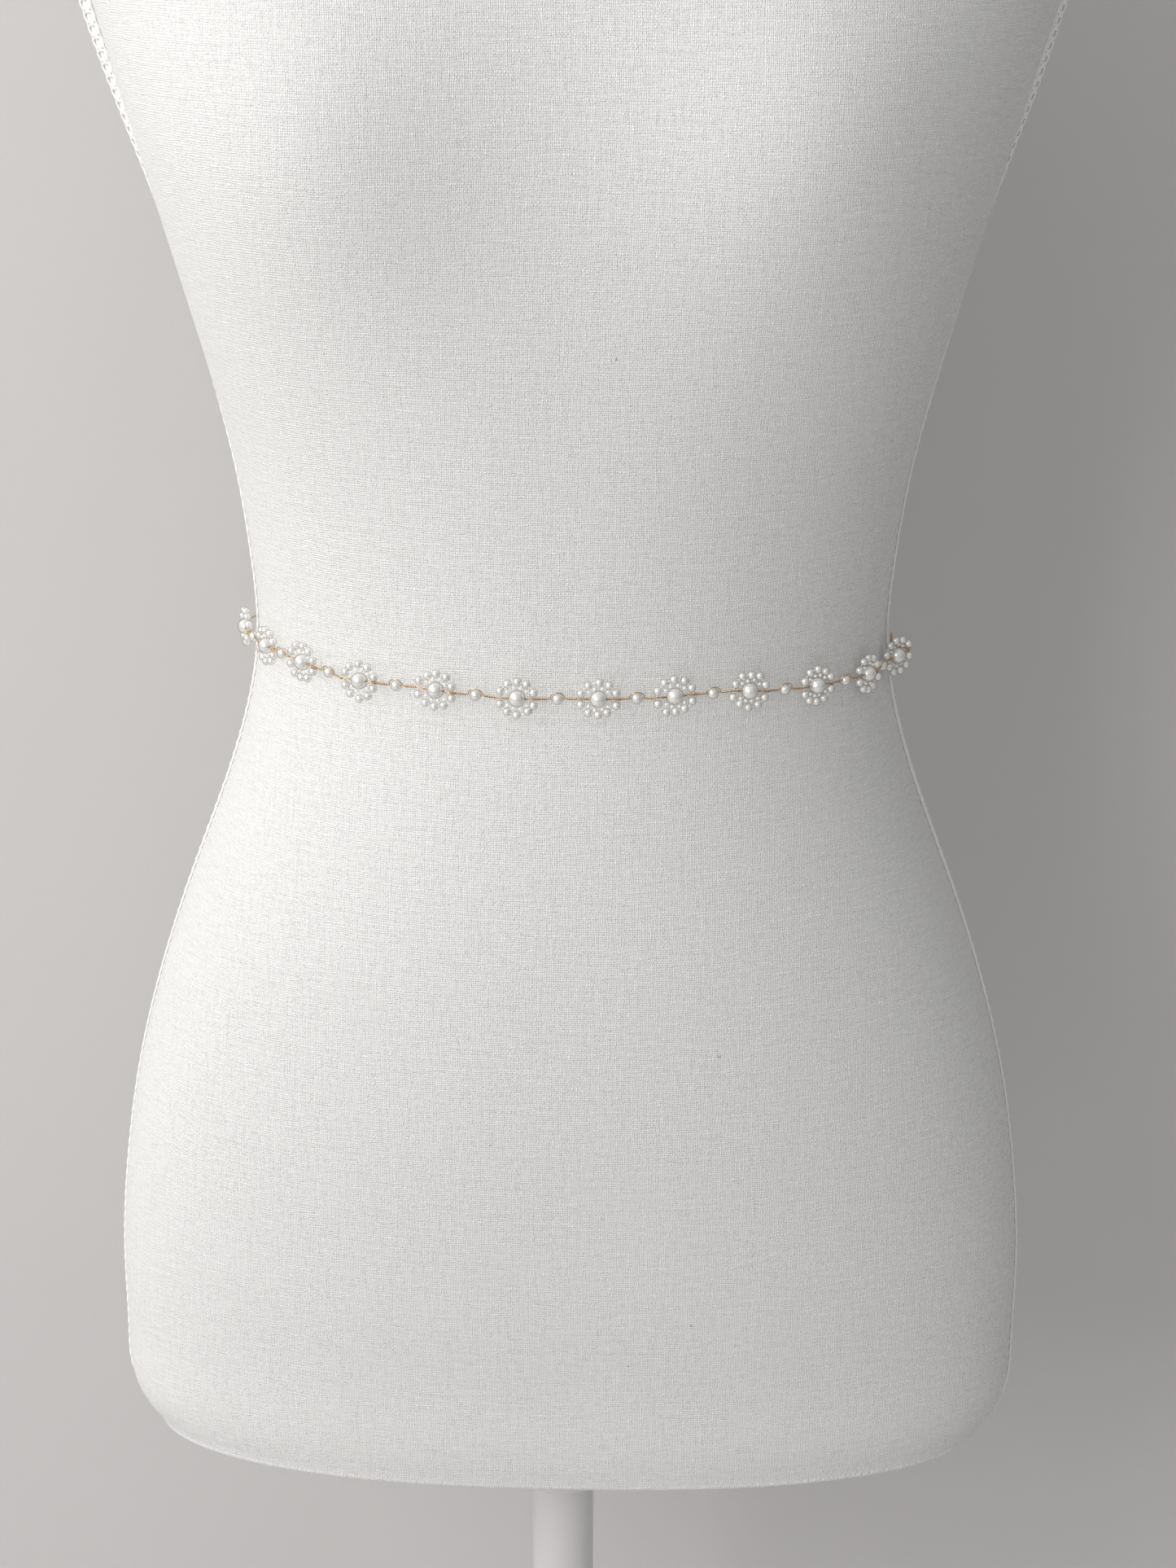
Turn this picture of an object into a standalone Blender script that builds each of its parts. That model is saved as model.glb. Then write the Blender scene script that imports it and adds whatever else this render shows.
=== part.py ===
"""A bridal belt of wired pearl flowers round the waist of a dress form on a short stand.

Twelve pearl flowers and eleven pearl links make one row of gold wire from side to side. A satin
ribbon runs on from each end and is tied in a knot at the back, with two tails. The form is a
padded torso under a tight cover, with a braid down each side, a cap on the neck, a pole and a
round base. Lengths are in metres, the front faces -Y, and the base stands on z = 0.
"""

import math

import bmesh
import bpy
import numpy as np
from mathutils import Matrix, Vector

MM = 0.001
GAP = 0.3 * MM

# The stand, from the floor up.
BASE_DIAMETER = 300 * MM
BASE_RIM = 9 * MM
BASE_CROWN = 15 * MM
BASE_SHOULDER = 93 * MM
BASE_SHOULDER_RISE = 12.3 * MM
TURNED_BEVEL = 2 * MM
COLLAR_DIAMETER = 44 * MM
COLLAR_HEIGHT = 22 * MM
POLE_DIAMETER = 24.4 * MM
POLE_SHOWN = 290 * MM
POLE_X = -2.0 * MM
SOCKET_PLATE_DIAMETER = 90 * MM
SOCKET_PLATE = 4 * MM
SOCKET_DIAMETER = 36 * MM
SOCKET_LENGTH = 24 * MM

# The form. Heights are over the waist, and depths are before and behind the side line.
FORM_COLUMNS = ("height", "half_width", "front", "back", "squareness")
FORM_SECTIONS = (
    (-320, 159.5, 63, 90, 2.30),
    (-308, 168.5, 66, 97, 2.30),
    (-285, 172.3, 69, 102, 2.30),
    (-250, 172.7, 75, 107, 2.28),
    (-210, 169.9, 81, 111, 2.26),
    (-170, 163.7, 86, 112, 2.24),
    (-130, 153.5, 89, 109, 2.21),
    (-95, 141.8, 90, 103, 2.18),
    (-60, 128.7, 89, 94, 2.15),
    (-30, 119.3, 87.5, 84, 2.13),
    (0, 114.5, 86, 78, 2.13),
    (30, 116.1, 87, 78, 2.18),
    (60, 120.2, 90, 82, 2.28),
    (100, 129.3, 96, 90, 2.48),
    (150, 142.6, 103, 98, 2.70),
    (200, 156.8, 106, 103, 2.82),
    (240, 168.3, 103, 105, 2.80),
    (280, 179.0, 95, 104, 2.62),
    (320, 186.8, 83, 98, 2.36),
    (345, 188.2, 69, 86, 2.40),
    (362, 184.0, 59, 75, 2.40),
    (377, 169.0, 54, 67, 2.34),
    (391, 142.0, 52, 62, 2.26),
    (405, 109.0, 51, 59, 2.18),
    (419, 79.0, 51, 57, 2.08),
    (436, 60.0, 51, 55, 2.02),
    (456, 54.0, 51, 53, 2.00),
    (478, 53.0, 52, 53, 2.00),
)
FORM_BOTTOM = -320 * MM
FORM_TOP = 478 * MM
FORM_RINGS = (
    -320, -315, -306, -290, -264, -234, -204, -174, -144, -116, -90, -66, -45, -28, -15,
    -5, 5, 15, 29, 48, 71, 96, 122, 148, 172, 196, 222, 252, 286, 318, 342, 358, 370,
    380, 390, 401, 413, 426, 441, 458, 478,
)
HALF_COLUMNS = 18
BUST_LIFT = 20 * MM
BUST_APART = 196 * MM
BUST_LEVEL = 188 * MM
BUST_SPREAD_ACROSS = 38 * MM
BUST_SPREAD_UP = 44 * MM
NECK_CAP_DIAMETER = 114 * MM
NECK_CAP_HEIGHT = 14 * MM

# The braid over each side seam, how far forward of the side line the seam runs, and how far the
# braid's rear edge stands off the form, where it lies on a piping.
BRAID_WIDTH = 8 * MM
BRAID_THICK = 1.2 * MM
BRAID_END = 6 * MM
SEAM_COLUMNS = ("height", "left", "right", "left_stand", "right_stand")
SEAM_FORWARD = (
    (-320, 2.0, 3.0, 0.0, 0.0),
    (-60, 3.0, 4.5, 0.0, 0.0),
    (0, 6.5, 7.0, 0.0, 0.0),
    (60, 8.0, 7.0, 0.0, 0.0),
    (120, 10.0, 7.0, 0.3, 0.3),
    (160, 15.0, 9.0, 1.4, 1.1),
    (200, 21.5, 13.0, 3.6, 2.8),
    (225, 24.5, 16.0, 4.4, 2.6),
    (310, 22.0, 15.0, 3.0, 2.4),
    (362, 12.0, 8.0, 1.0, 1.0),
    (405, 5.0, 4.0, 0.0, 0.0),
    (478, 0.0, 0.0, 0.0, 0.0),
)

# A pearl flower: a ring of small pearls round a large one, on gold wire.
CENTRE_PEARL = 6.0 * MM
RING_PEARL = 3.0 * MM
RING_PEARLS = 10
RING_HALF_LENGTH = 6.4 * MM
RING_HALF_HEIGHT = 5.8 * MM
RING_WIRE_GAP = 4.7 * MM
RING_NECK = 1.0 * MM
RING_SIDES = 6
SPOKE_WIRE = 0.7 * MM
STRAND_SIDES = 8
FLOWER_STEP = 6 * MM

# A link: two twisted wires with one pearl in the middle.
LINK_PEARL = 4.0 * MM
LINK_WIRE = 0.85 * MM
LINK_LIFT = 2.7 * MM
LINK_START = RING_HALF_LENGTH + RING_NECK / 2 + GAP
END_WIRE = 0.68 * MM
EYELET_RADIUS = 2.6 * MM
EYELET_WIRE = 0.8 * MM
EYELET_REACH = 19.5 * MM
EYELET_POINTS = 14

# The flowers from left to right: place along the waist from the middle of the front, height over
# the waist, turn in the flower's own plane, what it lies on beyond the cover, and how far its face
# leans round to the right, in degrees.
FLOWER_COLUMNS = ("along", "rise", "turn", "extra_lift", "lean")
FLOWERS = (
    (-148.6, 2.9, -4.0, 1.5, 6.0),
    (-121.2, 3.2, 3.0, 0.0, 0.0),
    (-98.2, 2.6, -2.0, 0.0, 0.0),
    (-72.6, 0.4, 4.0, 0.0, 0.0),
    (-44.2, 0.5, -3.0, 0.0, 0.0),
    (-16.2, -0.7, 1.0, 0.0, 0.0),
    (11.2, -0.5, -1.0, 0.0, 0.0),
    (37.0, -0.1, 3.0, 0.0, 0.0),
    (63.4, -0.3, -4.0, 0.0, 0.0),
    (90.4, -2.2, 2.0, 0.0, 0.0),
    (117.2, -3.5, -2.0, 0.0, 0.0),
    (141.6, -3.3, 8.0, 1.9, -30.0),
)

# Past this share of the way to the middle of the back the belt runs down to the knot's level.
BELT_LEVELS_FROM = 0.8
BELT_END_RISE = 0.6

# The satin ribbon, its knot at the back and its two tails.
RIBBON_WIDTH = 10 * MM
RIBBON_THICK = 1.0 * MM
RIBBON_LIFT = 0.55 * MM
RIBBON_OVERLAP = 3.0 * MM
RIBBON_GATHER = 6 * MM
RIBBON_GATHER_LENGTH = 14 * MM
RIBBON_SECTIONS = 20
KNOT_WIDTH = 15 * MM
KNOT_HEIGHT = 12.5 * MM
KNOT_DEPTH = 7.5 * MM
KNOT_SQUARENESS = 2.6
KNOT_ROWS = 7
KNOT_SIDES = 14
TAIL_DROP = (168 * MM, 182 * MM)
TAIL_SPLAY = 0.13
TAIL_START = 4.0 * MM
TAIL_TOP_SHARE = 0.55
TAIL_WIDENS_OVER = 30 * MM
TAIL_CLEAR_SHARE = 0.35
TAIL_SLANT = 7 * MM
TAIL_SECTIONS = 14

EYELET_LIFT = RIBBON_LIFT + RIBBON_THICK + GAP + EYELET_WIRE / 2
WAIST_HEIGHT = BASE_CROWN + COLLAR_HEIGHT + POLE_SHOWN - FORM_BOTTOM
FRONT = -math.pi / 2
SIDES = {"left": -1, "right": 1}

FINISHES = {
    "cover": ((0.88, 0.88, 0.87), 0.85, 0.0),
    "braid": ((0.93, 0.93, 0.91), 0.7, 0.0),
    "pearl": ((0.93, 0.91, 0.86), 0.22, 0.0),
    "gold_wire": ((0.86, 0.66, 0.36), 0.25, 1.0),
    "ribbon": ((0.93, 0.91, 0.85), 0.35, 0.0),
    "white_metal": ((0.9, 0.9, 0.91), 0.25, 0.0),
}


def start():
    """Removes what the scene holds, and makes the empty that carries what sits on the form."""
    for old in list(bpy.data.objects):
        bpy.data.objects.remove(old)
    waist = bpy.data.objects.new("waist", None)
    waist.location = (0, 0, WAIST_HEIGHT)
    bpy.context.collection.objects.link(waist)
    bpy.context.view_layer.update()
    return waist


def finish_named(name):
    """The material of a finish, made once."""
    found = bpy.data.materials.get(name)
    if found:
        return found
    colour, roughness, metallic = FINISHES[name]
    made = bpy.data.materials.new(name)
    made.use_nodes = True
    shader = made.node_tree.nodes["Principled BSDF"]
    shader.inputs["Base Color"].default_value = (*colour, 1)
    shader.inputs["Roughness"].default_value = roughness
    shader.inputs["Metallic"].default_value = metallic
    made.diffuse_color = (*colour, 1)
    return made


def mesh_of(name, points, faces, finish, sharp_angle=50):
    """A closed mesh whose faces point outwards, shaded smooth but for its sharp edges."""
    mesh = bpy.data.meshes.new(name)
    mesh.from_pydata([tuple(p) for p in points], [], faces)
    work = bmesh.new()
    work.from_mesh(mesh)
    bmesh.ops.recalc_face_normals(work, faces=work.faces)
    work.to_mesh(mesh)
    work.free()
    mesh.materials.append(finish_named(finish))
    mesh.shade_smooth()
    mesh.set_sharp_from_angle(angle=math.radians(sharp_angle))
    return mesh


def place(name, mesh, parent=None, matrix=None):
    """An object that shows a mesh, under a parent, where a matrix puts it."""
    made = bpy.data.objects.new(name, mesh)
    made.parent = parent
    made.matrix_local = matrix or Matrix.Identity(4)
    bpy.context.collection.objects.link(made)
    return made


def skin(rings, closed=False):
    """Points and faces of a skin over rings of points. A row that isn't closed has flat ends."""
    count, sides = len(rings), len(rings[0])
    points = [p for ring in rings for p in ring]
    faces = []
    for i in range(count if closed else count - 1):
        j = (i + 1) % count
        for k in range(sides):
            n = (k + 1) % sides
            faces.append((i * sides + k, i * sides + n, j * sides + n, j * sides + k))
    if not closed:
        faces.append(tuple(range(sides)))
        faces.append(tuple((count - 1) * sides + k for k in range(sides)))
    return points, faces


def turned(profile, sides):
    """A skin turned round the Z axis from radius and height pairs, from the bottom up."""
    angles = np.arange(sides) * 2 * math.pi / sides
    rings = [
        np.column_stack([radius * np.cos(angles), radius * np.sin(angles), np.full(sides, height)])
        for radius, height in profile
    ]
    return skin(rings)


def swept(path, radii, ups, sides, closed=False):
    """A round skin along a path, with a radius and an upward direction at each of its points."""
    path = np.asarray(path, float)
    if closed:
        run = np.roll(path, -1, axis=0) - np.roll(path, 1, axis=0)
    else:
        run = np.gradient(path, axis=0)
    run /= np.linalg.norm(run, axis=1)[:, None]
    across = np.cross(run, ups)
    across /= np.linalg.norm(across, axis=1)[:, None]
    ups = np.cross(across, run)
    angles = np.arange(sides) * 2 * math.pi / sides
    rings = [
        p + r * (np.cos(angles)[:, None] * a + np.sin(angles)[:, None] * u)
        for p, r, a, u in zip(path, radii, across, ups)
    ]
    return skin(rings, closed)


def pearl_profile(diameter, wire, steps):
    """Places along a wire and radii there, over one pearl from wire to wire."""
    edge = math.sqrt((diameter / 2) ** 2 - (wire / 2) ** 2)
    half_turn = math.asin(edge / (diameter / 2))
    turns = np.linspace(-half_turn, half_turn, steps)
    return diameter / 2 * np.sin(turns), diameter / 2 * np.cos(turns)


def fused(first, second, name, finish):
    """One mesh from two that cross each other."""
    holder = place(name + "_first", first)
    other = place(name + "_second", second)
    union = holder.modifiers.new("union", "BOOLEAN")
    union.operation = "UNION"
    union.solver = "EXACT"
    union.object = other
    shown = holder.evaluated_get(bpy.context.evaluated_depsgraph_get())
    joined = bpy.data.meshes.new_from_object(shown)
    joined.name = name
    joined.materials.clear()
    joined.materials.append(finish_named(finish))
    joined.shade_smooth()
    joined.set_sharp_from_angle(angle=math.radians(50))
    bpy.data.objects.remove(holder)
    bpy.data.objects.remove(other)
    return joined


def column(table, names, name):
    """One named column of a table, as an array."""
    return np.array([row[names.index(name)] for row in table], float)


def spline(x, y, at):
    """The natural cubic spline through a table's rows, read at any places."""
    run = np.diff(x)
    slope = np.diff(y) / run
    system = np.eye(len(x))
    load = np.zeros(len(x))
    for i in range(1, len(x) - 1):
        system[i, i - 1 : i + 2] = run[i - 1], 2 * (run[i - 1] + run[i]), run[i]
        load[i] = 6 * (slope[i] - slope[i - 1])
    bend = np.linalg.solve(system, load)
    at = np.asarray(at, float)
    i = np.clip(np.searchsorted(x, at) - 1, 0, len(x) - 2)
    a, b = x[i + 1] - at, at - x[i]
    cubic = (bend[i] * a**3 + bend[i + 1] * b**3) / (6 * run[i])
    left = (y[i] / run[i] - bend[i] * run[i] / 6) * a
    right = (y[i + 1] / run[i] - bend[i + 1] * run[i] / 6) * b
    return cubic + left + right


def form_size(name, height):
    """One column of the form's sections, at any heights over the waist."""
    heights = column(FORM_SECTIONS, FORM_COLUMNS, "height") * MM
    return spline(heights, column(FORM_SECTIONS, FORM_COLUMNS, name), height)


def seam_angle(side, height):
    """The angle of a side seam: 0 is the right side line, and less is nearer the front."""
    heights = column(SEAM_FORWARD, SEAM_COLUMNS, "height") * MM
    forward = spline(heights, column(SEAM_FORWARD, SEAM_COLUMNS, side), height)
    turn = forward / form_size("half_width", height)
    return -turn if side == "right" else turn - math.pi


def surface(height, angle):
    """A point of the form: a superellipse in plan, with a soft mound on each side of the bust."""
    height, angle = np.broadcast_arrays(np.asarray(height, float), np.asarray(angle, float))
    across, out = np.cos(angle), np.sin(angle)
    half_width = form_size("half_width", height) * MM
    depth = np.where(out < 0, form_size("front", height), form_size("back", height)) * MM
    power = form_size("squareness", height)
    reach = (np.abs(across / half_width) ** power + np.abs(out / depth) ** power) ** (-1 / power)
    x, y = reach * across, reach * out
    for side in SIDES.values():
        beside = (x - side * BUST_APART / 2) / BUST_SPREAD_ACROSS
        above = (height - BUST_LEVEL) / BUST_SPREAD_UP
        mound = BUST_LIFT * np.exp(-(beside**2 + above**2) / 2)
        y = y - mound * np.clip(-out, 0, 1)
    return np.stack([x, y, height], axis=-1)


def outward(height, angle):
    """The direction straight out of the form at a point."""
    step, turn = 0.5 * MM, 0.004
    low = np.clip(np.asarray(height, float) - step, FORM_BOTTOM, FORM_TOP)
    high = np.clip(np.asarray(height, float) + step, FORM_BOTTOM, FORM_TOP)
    up = surface(high, angle) - surface(low, angle)
    round_ = surface(height, np.asarray(angle) + turn) - surface(height, np.asarray(angle) - turn)
    out = np.cross(round_, up)
    return out / np.linalg.norm(out, axis=-1, keepdims=True)


def over_form(height, angle, lift):
    """A point straight over the form."""
    return surface(height, angle) + outward(height, angle) * np.asarray(lift)[..., None]


def waist_angles():
    """Angles round the waist from the middle of the back, and the length of waist up to each."""
    angles = np.linspace(FRONT - math.pi, FRONT + math.pi, 2881)
    points = surface(np.zeros_like(angles), angles)
    steps = np.linalg.norm(np.diff(points, axis=0), axis=1)
    return angles, np.concatenate([[0], np.cumsum(steps)])


WAIST_ANGLES, WAIST_LENGTHS = waist_angles()
WAIST_GIRTH = WAIST_LENGTHS[-1]
FRONT_LENGTH = np.interp(FRONT, WAIST_ANGLES, WAIST_LENGTHS)


def angle_along(along):
    """The angle of a place along the waist, measured from the middle of the front to the right."""
    return np.interp(np.asarray(along) + FRONT_LENGTH, WAIST_LENGTHS, WAIST_ANGLES)


def belt_rise(along):
    """The belt's height over the waist at a place along it. Both ends run level into the knot."""
    back = WAIST_GIRTH / 2
    places = column(FLOWERS, FLOWER_COLUMNS, "along") * MM
    rises = column(FLOWERS, FLOWER_COLUMNS, "rise") * MM
    turn = BELT_LEVELS_FROM * back
    places = np.concatenate([[-back, -turn], places, [turn, back]])
    rises = np.concatenate([[0, rises[0] * BELT_END_RISE], rises, [rises[-1] * BELT_END_RISE, 0]])
    return np.interp(along, places, rises)


def columns_at(height):
    """The angles of the form's columns of points at a height, with three columns under each braid."""
    right, left = seam_angle("right", height), seam_angle("left", height)
    beside = BRAID_WIDTH / 2 / (form_size("half_width", height) * MM)
    inner = 3 * beside
    front = np.linspace(right - inner, left + inner, HALF_COLUMNS + 1)
    back = np.linspace(left - inner, right - 2 * math.pi + inner, HALF_COLUMNS + 1)
    edges = [right, right - beside], [left + beside, left, left - beside]
    return np.concatenate([edges[0], front, edges[1], back, [right - 2 * math.pi + beside]])


def make_form(waist):
    """The padded torso in its cover: rings of points from the cut bottom to the top of the neck."""
    rings = [surface(h * MM, columns_at(h * MM)) for h in FORM_RINGS]
    points, faces = skin(rings)
    mesh = mesh_of("form_torso", points, faces, "cover", 60)
    return place("form_torso", mesh, waist)


def braid_stand(side, height):
    """How far the braid's rear edge stands off the form."""
    heights = column(SEAM_FORWARD, SEAM_COLUMNS, "height") * MM
    return spline(heights, column(SEAM_FORWARD, SEAM_COLUMNS, side + "_stand"), height) * MM


def make_braid(waist, side):
    """The flat braid over one side seam, from the form's own points there, moved out. Its outer
    face rises from the front edge to the rear one by what it stands off."""
    heights = [h * MM for h in FORM_RINGS]
    heights[0] += GAP
    heights[-1] -= BRAID_END
    share = np.array([0, 0.5, 1]) if side == "right" else np.array([1, 0.5, 0])
    rings = []
    for height in heights:
        middle = seam_angle(side, height)
        beside = BRAID_WIDTH / 2 / (form_size("half_width", height) * MM)
        angles = np.array([middle - beside, middle, middle + beside])
        lift = GAP + BRAID_THICK + np.clip(braid_stand(side, height), 0, None) * share
        inner = over_form(height, angles, GAP)
        outer = over_form(height, angles, lift)[::-1]
        rings.append(np.concatenate([inner, outer]))
    points, faces = skin(rings)
    name = "braid_" + side
    return place(name, mesh_of(name, points, faces, "braid", 60), waist)


def make_neck_cap(waist):
    """The cap on the neck: a disc with a rounded rim."""
    radius = NECK_CAP_DIAMETER / 2
    bottom = FORM_TOP + GAP
    bend = NECK_CAP_HEIGHT / 2
    turns = np.linspace(-math.pi / 2, math.pi / 2, 5)
    profile = [
        (radius - bend + bend * math.cos(t), bottom + bend + bend * math.sin(t)) for t in turns
    ]
    points, faces = turned(profile, 32)
    return place("neck_cap", mesh_of("neck_cap", points, faces, "white_metal", 70), waist)


def make_stand():
    """The round base with its collar, the pole, and the socket plate under the form."""
    radius = BASE_DIAMETER / 2
    collar = COLLAR_DIAMETER / 2
    top = BASE_CROWN + COLLAR_HEIGHT
    bevel = TURNED_BEVEL
    base = [
        (radius - bevel, 0),
        (radius, bevel),
        (radius, BASE_RIM - bevel),
        (radius - bevel, BASE_RIM),
        (BASE_SHOULDER, BASE_SHOULDER_RISE),
        (collar + bevel * 2, BASE_CROWN),
        (collar, BASE_CROWN + bevel * 2),
        (collar, top - bevel),
        (collar - bevel, top),
    ]
    middle = Matrix.Translation((POLE_X, 0, 0))
    points, faces = turned(base, 40)
    place("base", mesh_of("base", points, faces, "white_metal", 40), None, middle)

    form_bottom = WAIST_HEIGHT + FORM_BOTTOM
    plate_top = form_bottom - GAP
    plate_bottom = plate_top - SOCKET_PLATE
    socket_bottom = plate_bottom - SOCKET_LENGTH
    socket = [
        (SOCKET_DIAMETER / 2 - bevel, socket_bottom),
        (SOCKET_DIAMETER / 2, socket_bottom + bevel),
        (SOCKET_DIAMETER / 2, plate_bottom),
        (SOCKET_PLATE_DIAMETER / 2, plate_bottom),
        (SOCKET_PLATE_DIAMETER / 2, plate_top),
    ]
    points, faces = turned(socket, 32)
    place("pole_socket", mesh_of("pole_socket", points, faces, "white_metal", 40), None, middle)

    pole = POLE_DIAMETER / 2
    points, faces = turned([(pole, top + GAP), (pole, socket_bottom - GAP)], 32)
    place("pole", mesh_of("pole", points, faces, "white_metal", 40), None, middle)


def flower_ring():
    """The ring of small pearls, as one tube that swells at each pearl, with a wire gap at each end."""
    turns = np.linspace(0, 2 * math.pi, 1441)
    oval = np.column_stack([RING_HALF_LENGTH * np.cos(turns), RING_HALF_HEIGHT * np.sin(turns)])
    lengths = np.concatenate([[0], np.cumsum(np.linalg.norm(np.diff(oval, axis=0), axis=1))])
    half = lengths[-1] / 2
    offsets, radii = pearl_profile(RING_PEARL, RING_NECK, 4)
    beside = np.linspace(RING_WIRE_GAP / 2, half - RING_WIRE_GAP / 2, RING_PEARLS // 2)
    places = np.concatenate([p + offsets for p in np.concatenate([beside, half + beside])])
    x = np.interp(places, lengths, oval[:, 0])
    y = np.interp(places, lengths, oval[:, 1])
    path = np.column_stack([x, y, np.zeros_like(x)])
    ups = np.tile([0.0, 0.0, 1.0], (len(path), 1))
    return swept(path, np.tile(radii, RING_PEARLS), ups, RING_SIDES, closed=True)


def flower_strand():
    """The wire across the ring with the large pearl on it."""
    offsets, radii = pearl_profile(CENTRE_PEARL, SPOKE_WIRE, 8)
    places = np.concatenate([[-RING_HALF_LENGTH], offsets, [RING_HALF_LENGTH]])
    radii = np.concatenate([[SPOKE_WIRE / 2], radii, [SPOKE_WIRE / 2]])
    path = np.column_stack([places, np.zeros_like(places), np.zeros_like(places)])
    ups = np.tile([0.0, 0.0, 1.0], (len(path), 1))
    return swept(path, radii, ups, STRAND_SIDES)


def flower_matrix(along, rise, turn, extra_lift, lean):
    """A flower's place: X along the belt, Y up and Z out of the form, leant and then turned in its
    own plane."""
    lift = GAP + CENTRE_PEARL / 2 + extra_lift * MM
    along = along * MM
    angle = angle_along(along)
    spot = over_form(rise * MM, angle, lift)
    out = outward(rise * MM, angle)
    ahead, behind = along + FLOWER_STEP, along - FLOWER_STEP
    ahead = over_form(belt_rise(ahead), angle_along(ahead), lift)
    behind = over_form(belt_rise(behind), angle_along(behind), lift)
    right = ahead - behind
    right = right - out * (right @ out)
    right /= np.linalg.norm(right)
    up = np.cross(out, right)
    axes = Matrix(np.column_stack([right, up, out]).tolist()).to_4x4()
    leant = Matrix.Rotation(math.radians(lean), 4, "Y")
    return Matrix.Translation(Vector(spot)) @ axes @ leant @ Matrix.Rotation(math.radians(turn), 4, "Z")


def make_flowers(waist):
    """The twelve pearl flowers, which share one mesh, and where each one sits."""
    ring = mesh_of("ring", *flower_ring(), "pearl")
    strand = mesh_of("strand", *flower_strand(), "pearl")
    mesh = fused(ring, strand, "pearl_flower", "pearl")
    matrices = [flower_matrix(*row) for row in FLOWERS]
    for number, matrix in enumerate(matrices, 1):
        place(f"flower_{number:02d}", mesh, waist, matrix)
    return matrices


def wire_end(matrix, side):
    """Where a link starts beside a flower, just clear of its ring."""
    return np.array(matrix @ Vector((side * LINK_START, 0, 0)))


def drawn_in(start, end, along, lift, shares):
    """Points from one end to the other that keep to the form between them."""
    place_along = along[0] + (along[1] - along[0]) * shares
    heights, angles = belt_rise(place_along), angle_along(place_along)
    near = over_form(heights, angles, np.full(len(shares), lift))
    first, last = start - near[0], end - near[-1]
    fade_in, fade_out = (1 - shares)[:, None] ** 2, shares[:, None] ** 2
    return near + first * fade_in + last * fade_out, outward(heights, angles)


def make_link(waist, number, before, after):
    """One link between two flowers: a twisted wire with a pearl in its middle."""
    start, end = wire_end(before, 1), wire_end(after, -1)
    places = column(FLOWERS, FLOWER_COLUMNS, "along") * MM
    along = places[number - 1] + LINK_START, places[number] - LINK_START
    length = np.linalg.norm(end - start)
    offsets, radii = pearl_profile(LINK_PEARL, LINK_WIRE, 6)
    ends = np.array([1 / 3, 1 / 2]) * length
    shares = 0.5 + np.concatenate([-ends[::-1], offsets, ends]) / length
    radii = np.concatenate([[LINK_WIRE / 2] * 2, radii, [LINK_WIRE / 2] * 2])
    path, ups = drawn_in(start, end, along, LINK_LIFT, shares)
    name = f"link_{number:02d}"
    place(name, mesh_of(name, *swept(path, radii, ups, STRAND_SIDES), "pearl"), waist)


def eyelet_spot(side):
    """The wire eye at one end of the belt: place along the waist, middle and way out."""
    places = column(FLOWERS, FLOWER_COLUMNS, "along") * MM
    along = (places[0] if side < 0 else places[-1]) + side * EYELET_REACH
    height, angle = belt_rise(along), angle_along(along)
    return along, over_form(height, angle, EYELET_LIFT), outward(height, angle)


def make_end_wire(waist, name, side, matrix):
    """The wire from the last flower to the eye that is sewn on the ribbon."""
    along, middle, out = eyelet_spot(side)
    start = wire_end(matrix, side)
    right = np.cross([0.0, 0.0, 1.0], out)
    right /= np.linalg.norm(right)
    up = np.cross(out, right)
    end = middle - side * right * EYELET_RADIUS
    shares = np.linspace(0, 1, 5)
    span = along - side * (EYELET_REACH - LINK_START), along - side * EYELET_RADIUS
    path, ups = drawn_in(start, end, span, EYELET_LIFT, shares)
    radii = np.full(len(path), END_WIRE / 2)
    wire = mesh_of("wire", *swept(path, radii, ups, RING_SIDES), "gold_wire")
    turns = np.arange(EYELET_POINTS) * 2 * math.pi / EYELET_POINTS
    eye = middle + EYELET_RADIUS * (
        np.cos(turns)[:, None] * right + np.sin(turns)[:, None] * up
    )
    eye_ups = np.tile(out, (len(eye), 1))
    eye_radii = np.full(len(eye), EYELET_WIRE / 2)
    eye_skin = swept(eye, eye_radii, eye_ups, RING_SIDES, closed=True)
    ring = mesh_of("eye", *eye_skin, "gold_wire")
    place(name, fused(ring, wire, name, "gold_wire"), waist)


def strip(heights, angles, half_widths, level):
    """A thin band over the form: its middle line, its half width at each place, and which way it
    is wide: level bands are wide across the waist's height, and hanging ones along it."""
    rings = []
    for height, angle, half in zip(heights, angles, half_widths):
        offsets = np.array([-half, 0, half])
        if level:
            high, turn = height + offsets, np.full(3, angle)
        else:
            radius = np.linalg.norm(surface(height, angle)[:2])
            high, turn = np.full(3, height), angle + offsets / radius
        inner = over_form(high, turn, RIBBON_LIFT)
        outer = over_form(high[::-1], turn[::-1], RIBBON_LIFT + RIBBON_THICK)
        rings.append(np.concatenate([inner, outer]))
    return skin(rings)


def make_ribbon(waist, name, side):
    """The ribbon from one end of the belt to the knot, gathered where it goes in."""
    along, _, _ = eyelet_spot(side)
    first = along - side * RIBBON_OVERLAP
    last = side * (WAIST_GIRTH / 2 - KNOT_WIDTH / 2 - GAP)
    along = np.linspace(first, last, RIBBON_SECTIONS)
    to_knot = np.clip(np.abs(last - along) / RIBBON_GATHER_LENGTH, 0, 1)
    half = (RIBBON_GATHER + (RIBBON_WIDTH - RIBBON_GATHER) * to_knot) / 2
    points, faces = strip(belt_rise(along), angle_along(along), half, level=True)
    place(name, mesh_of(name, points, faces, "ribbon", 60), waist)


def squared(value):
    """A sine or cosine as the knot's superellipse has it."""
    return np.sign(value) * np.abs(value) ** (2 / KNOT_SQUARENESS)


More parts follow.
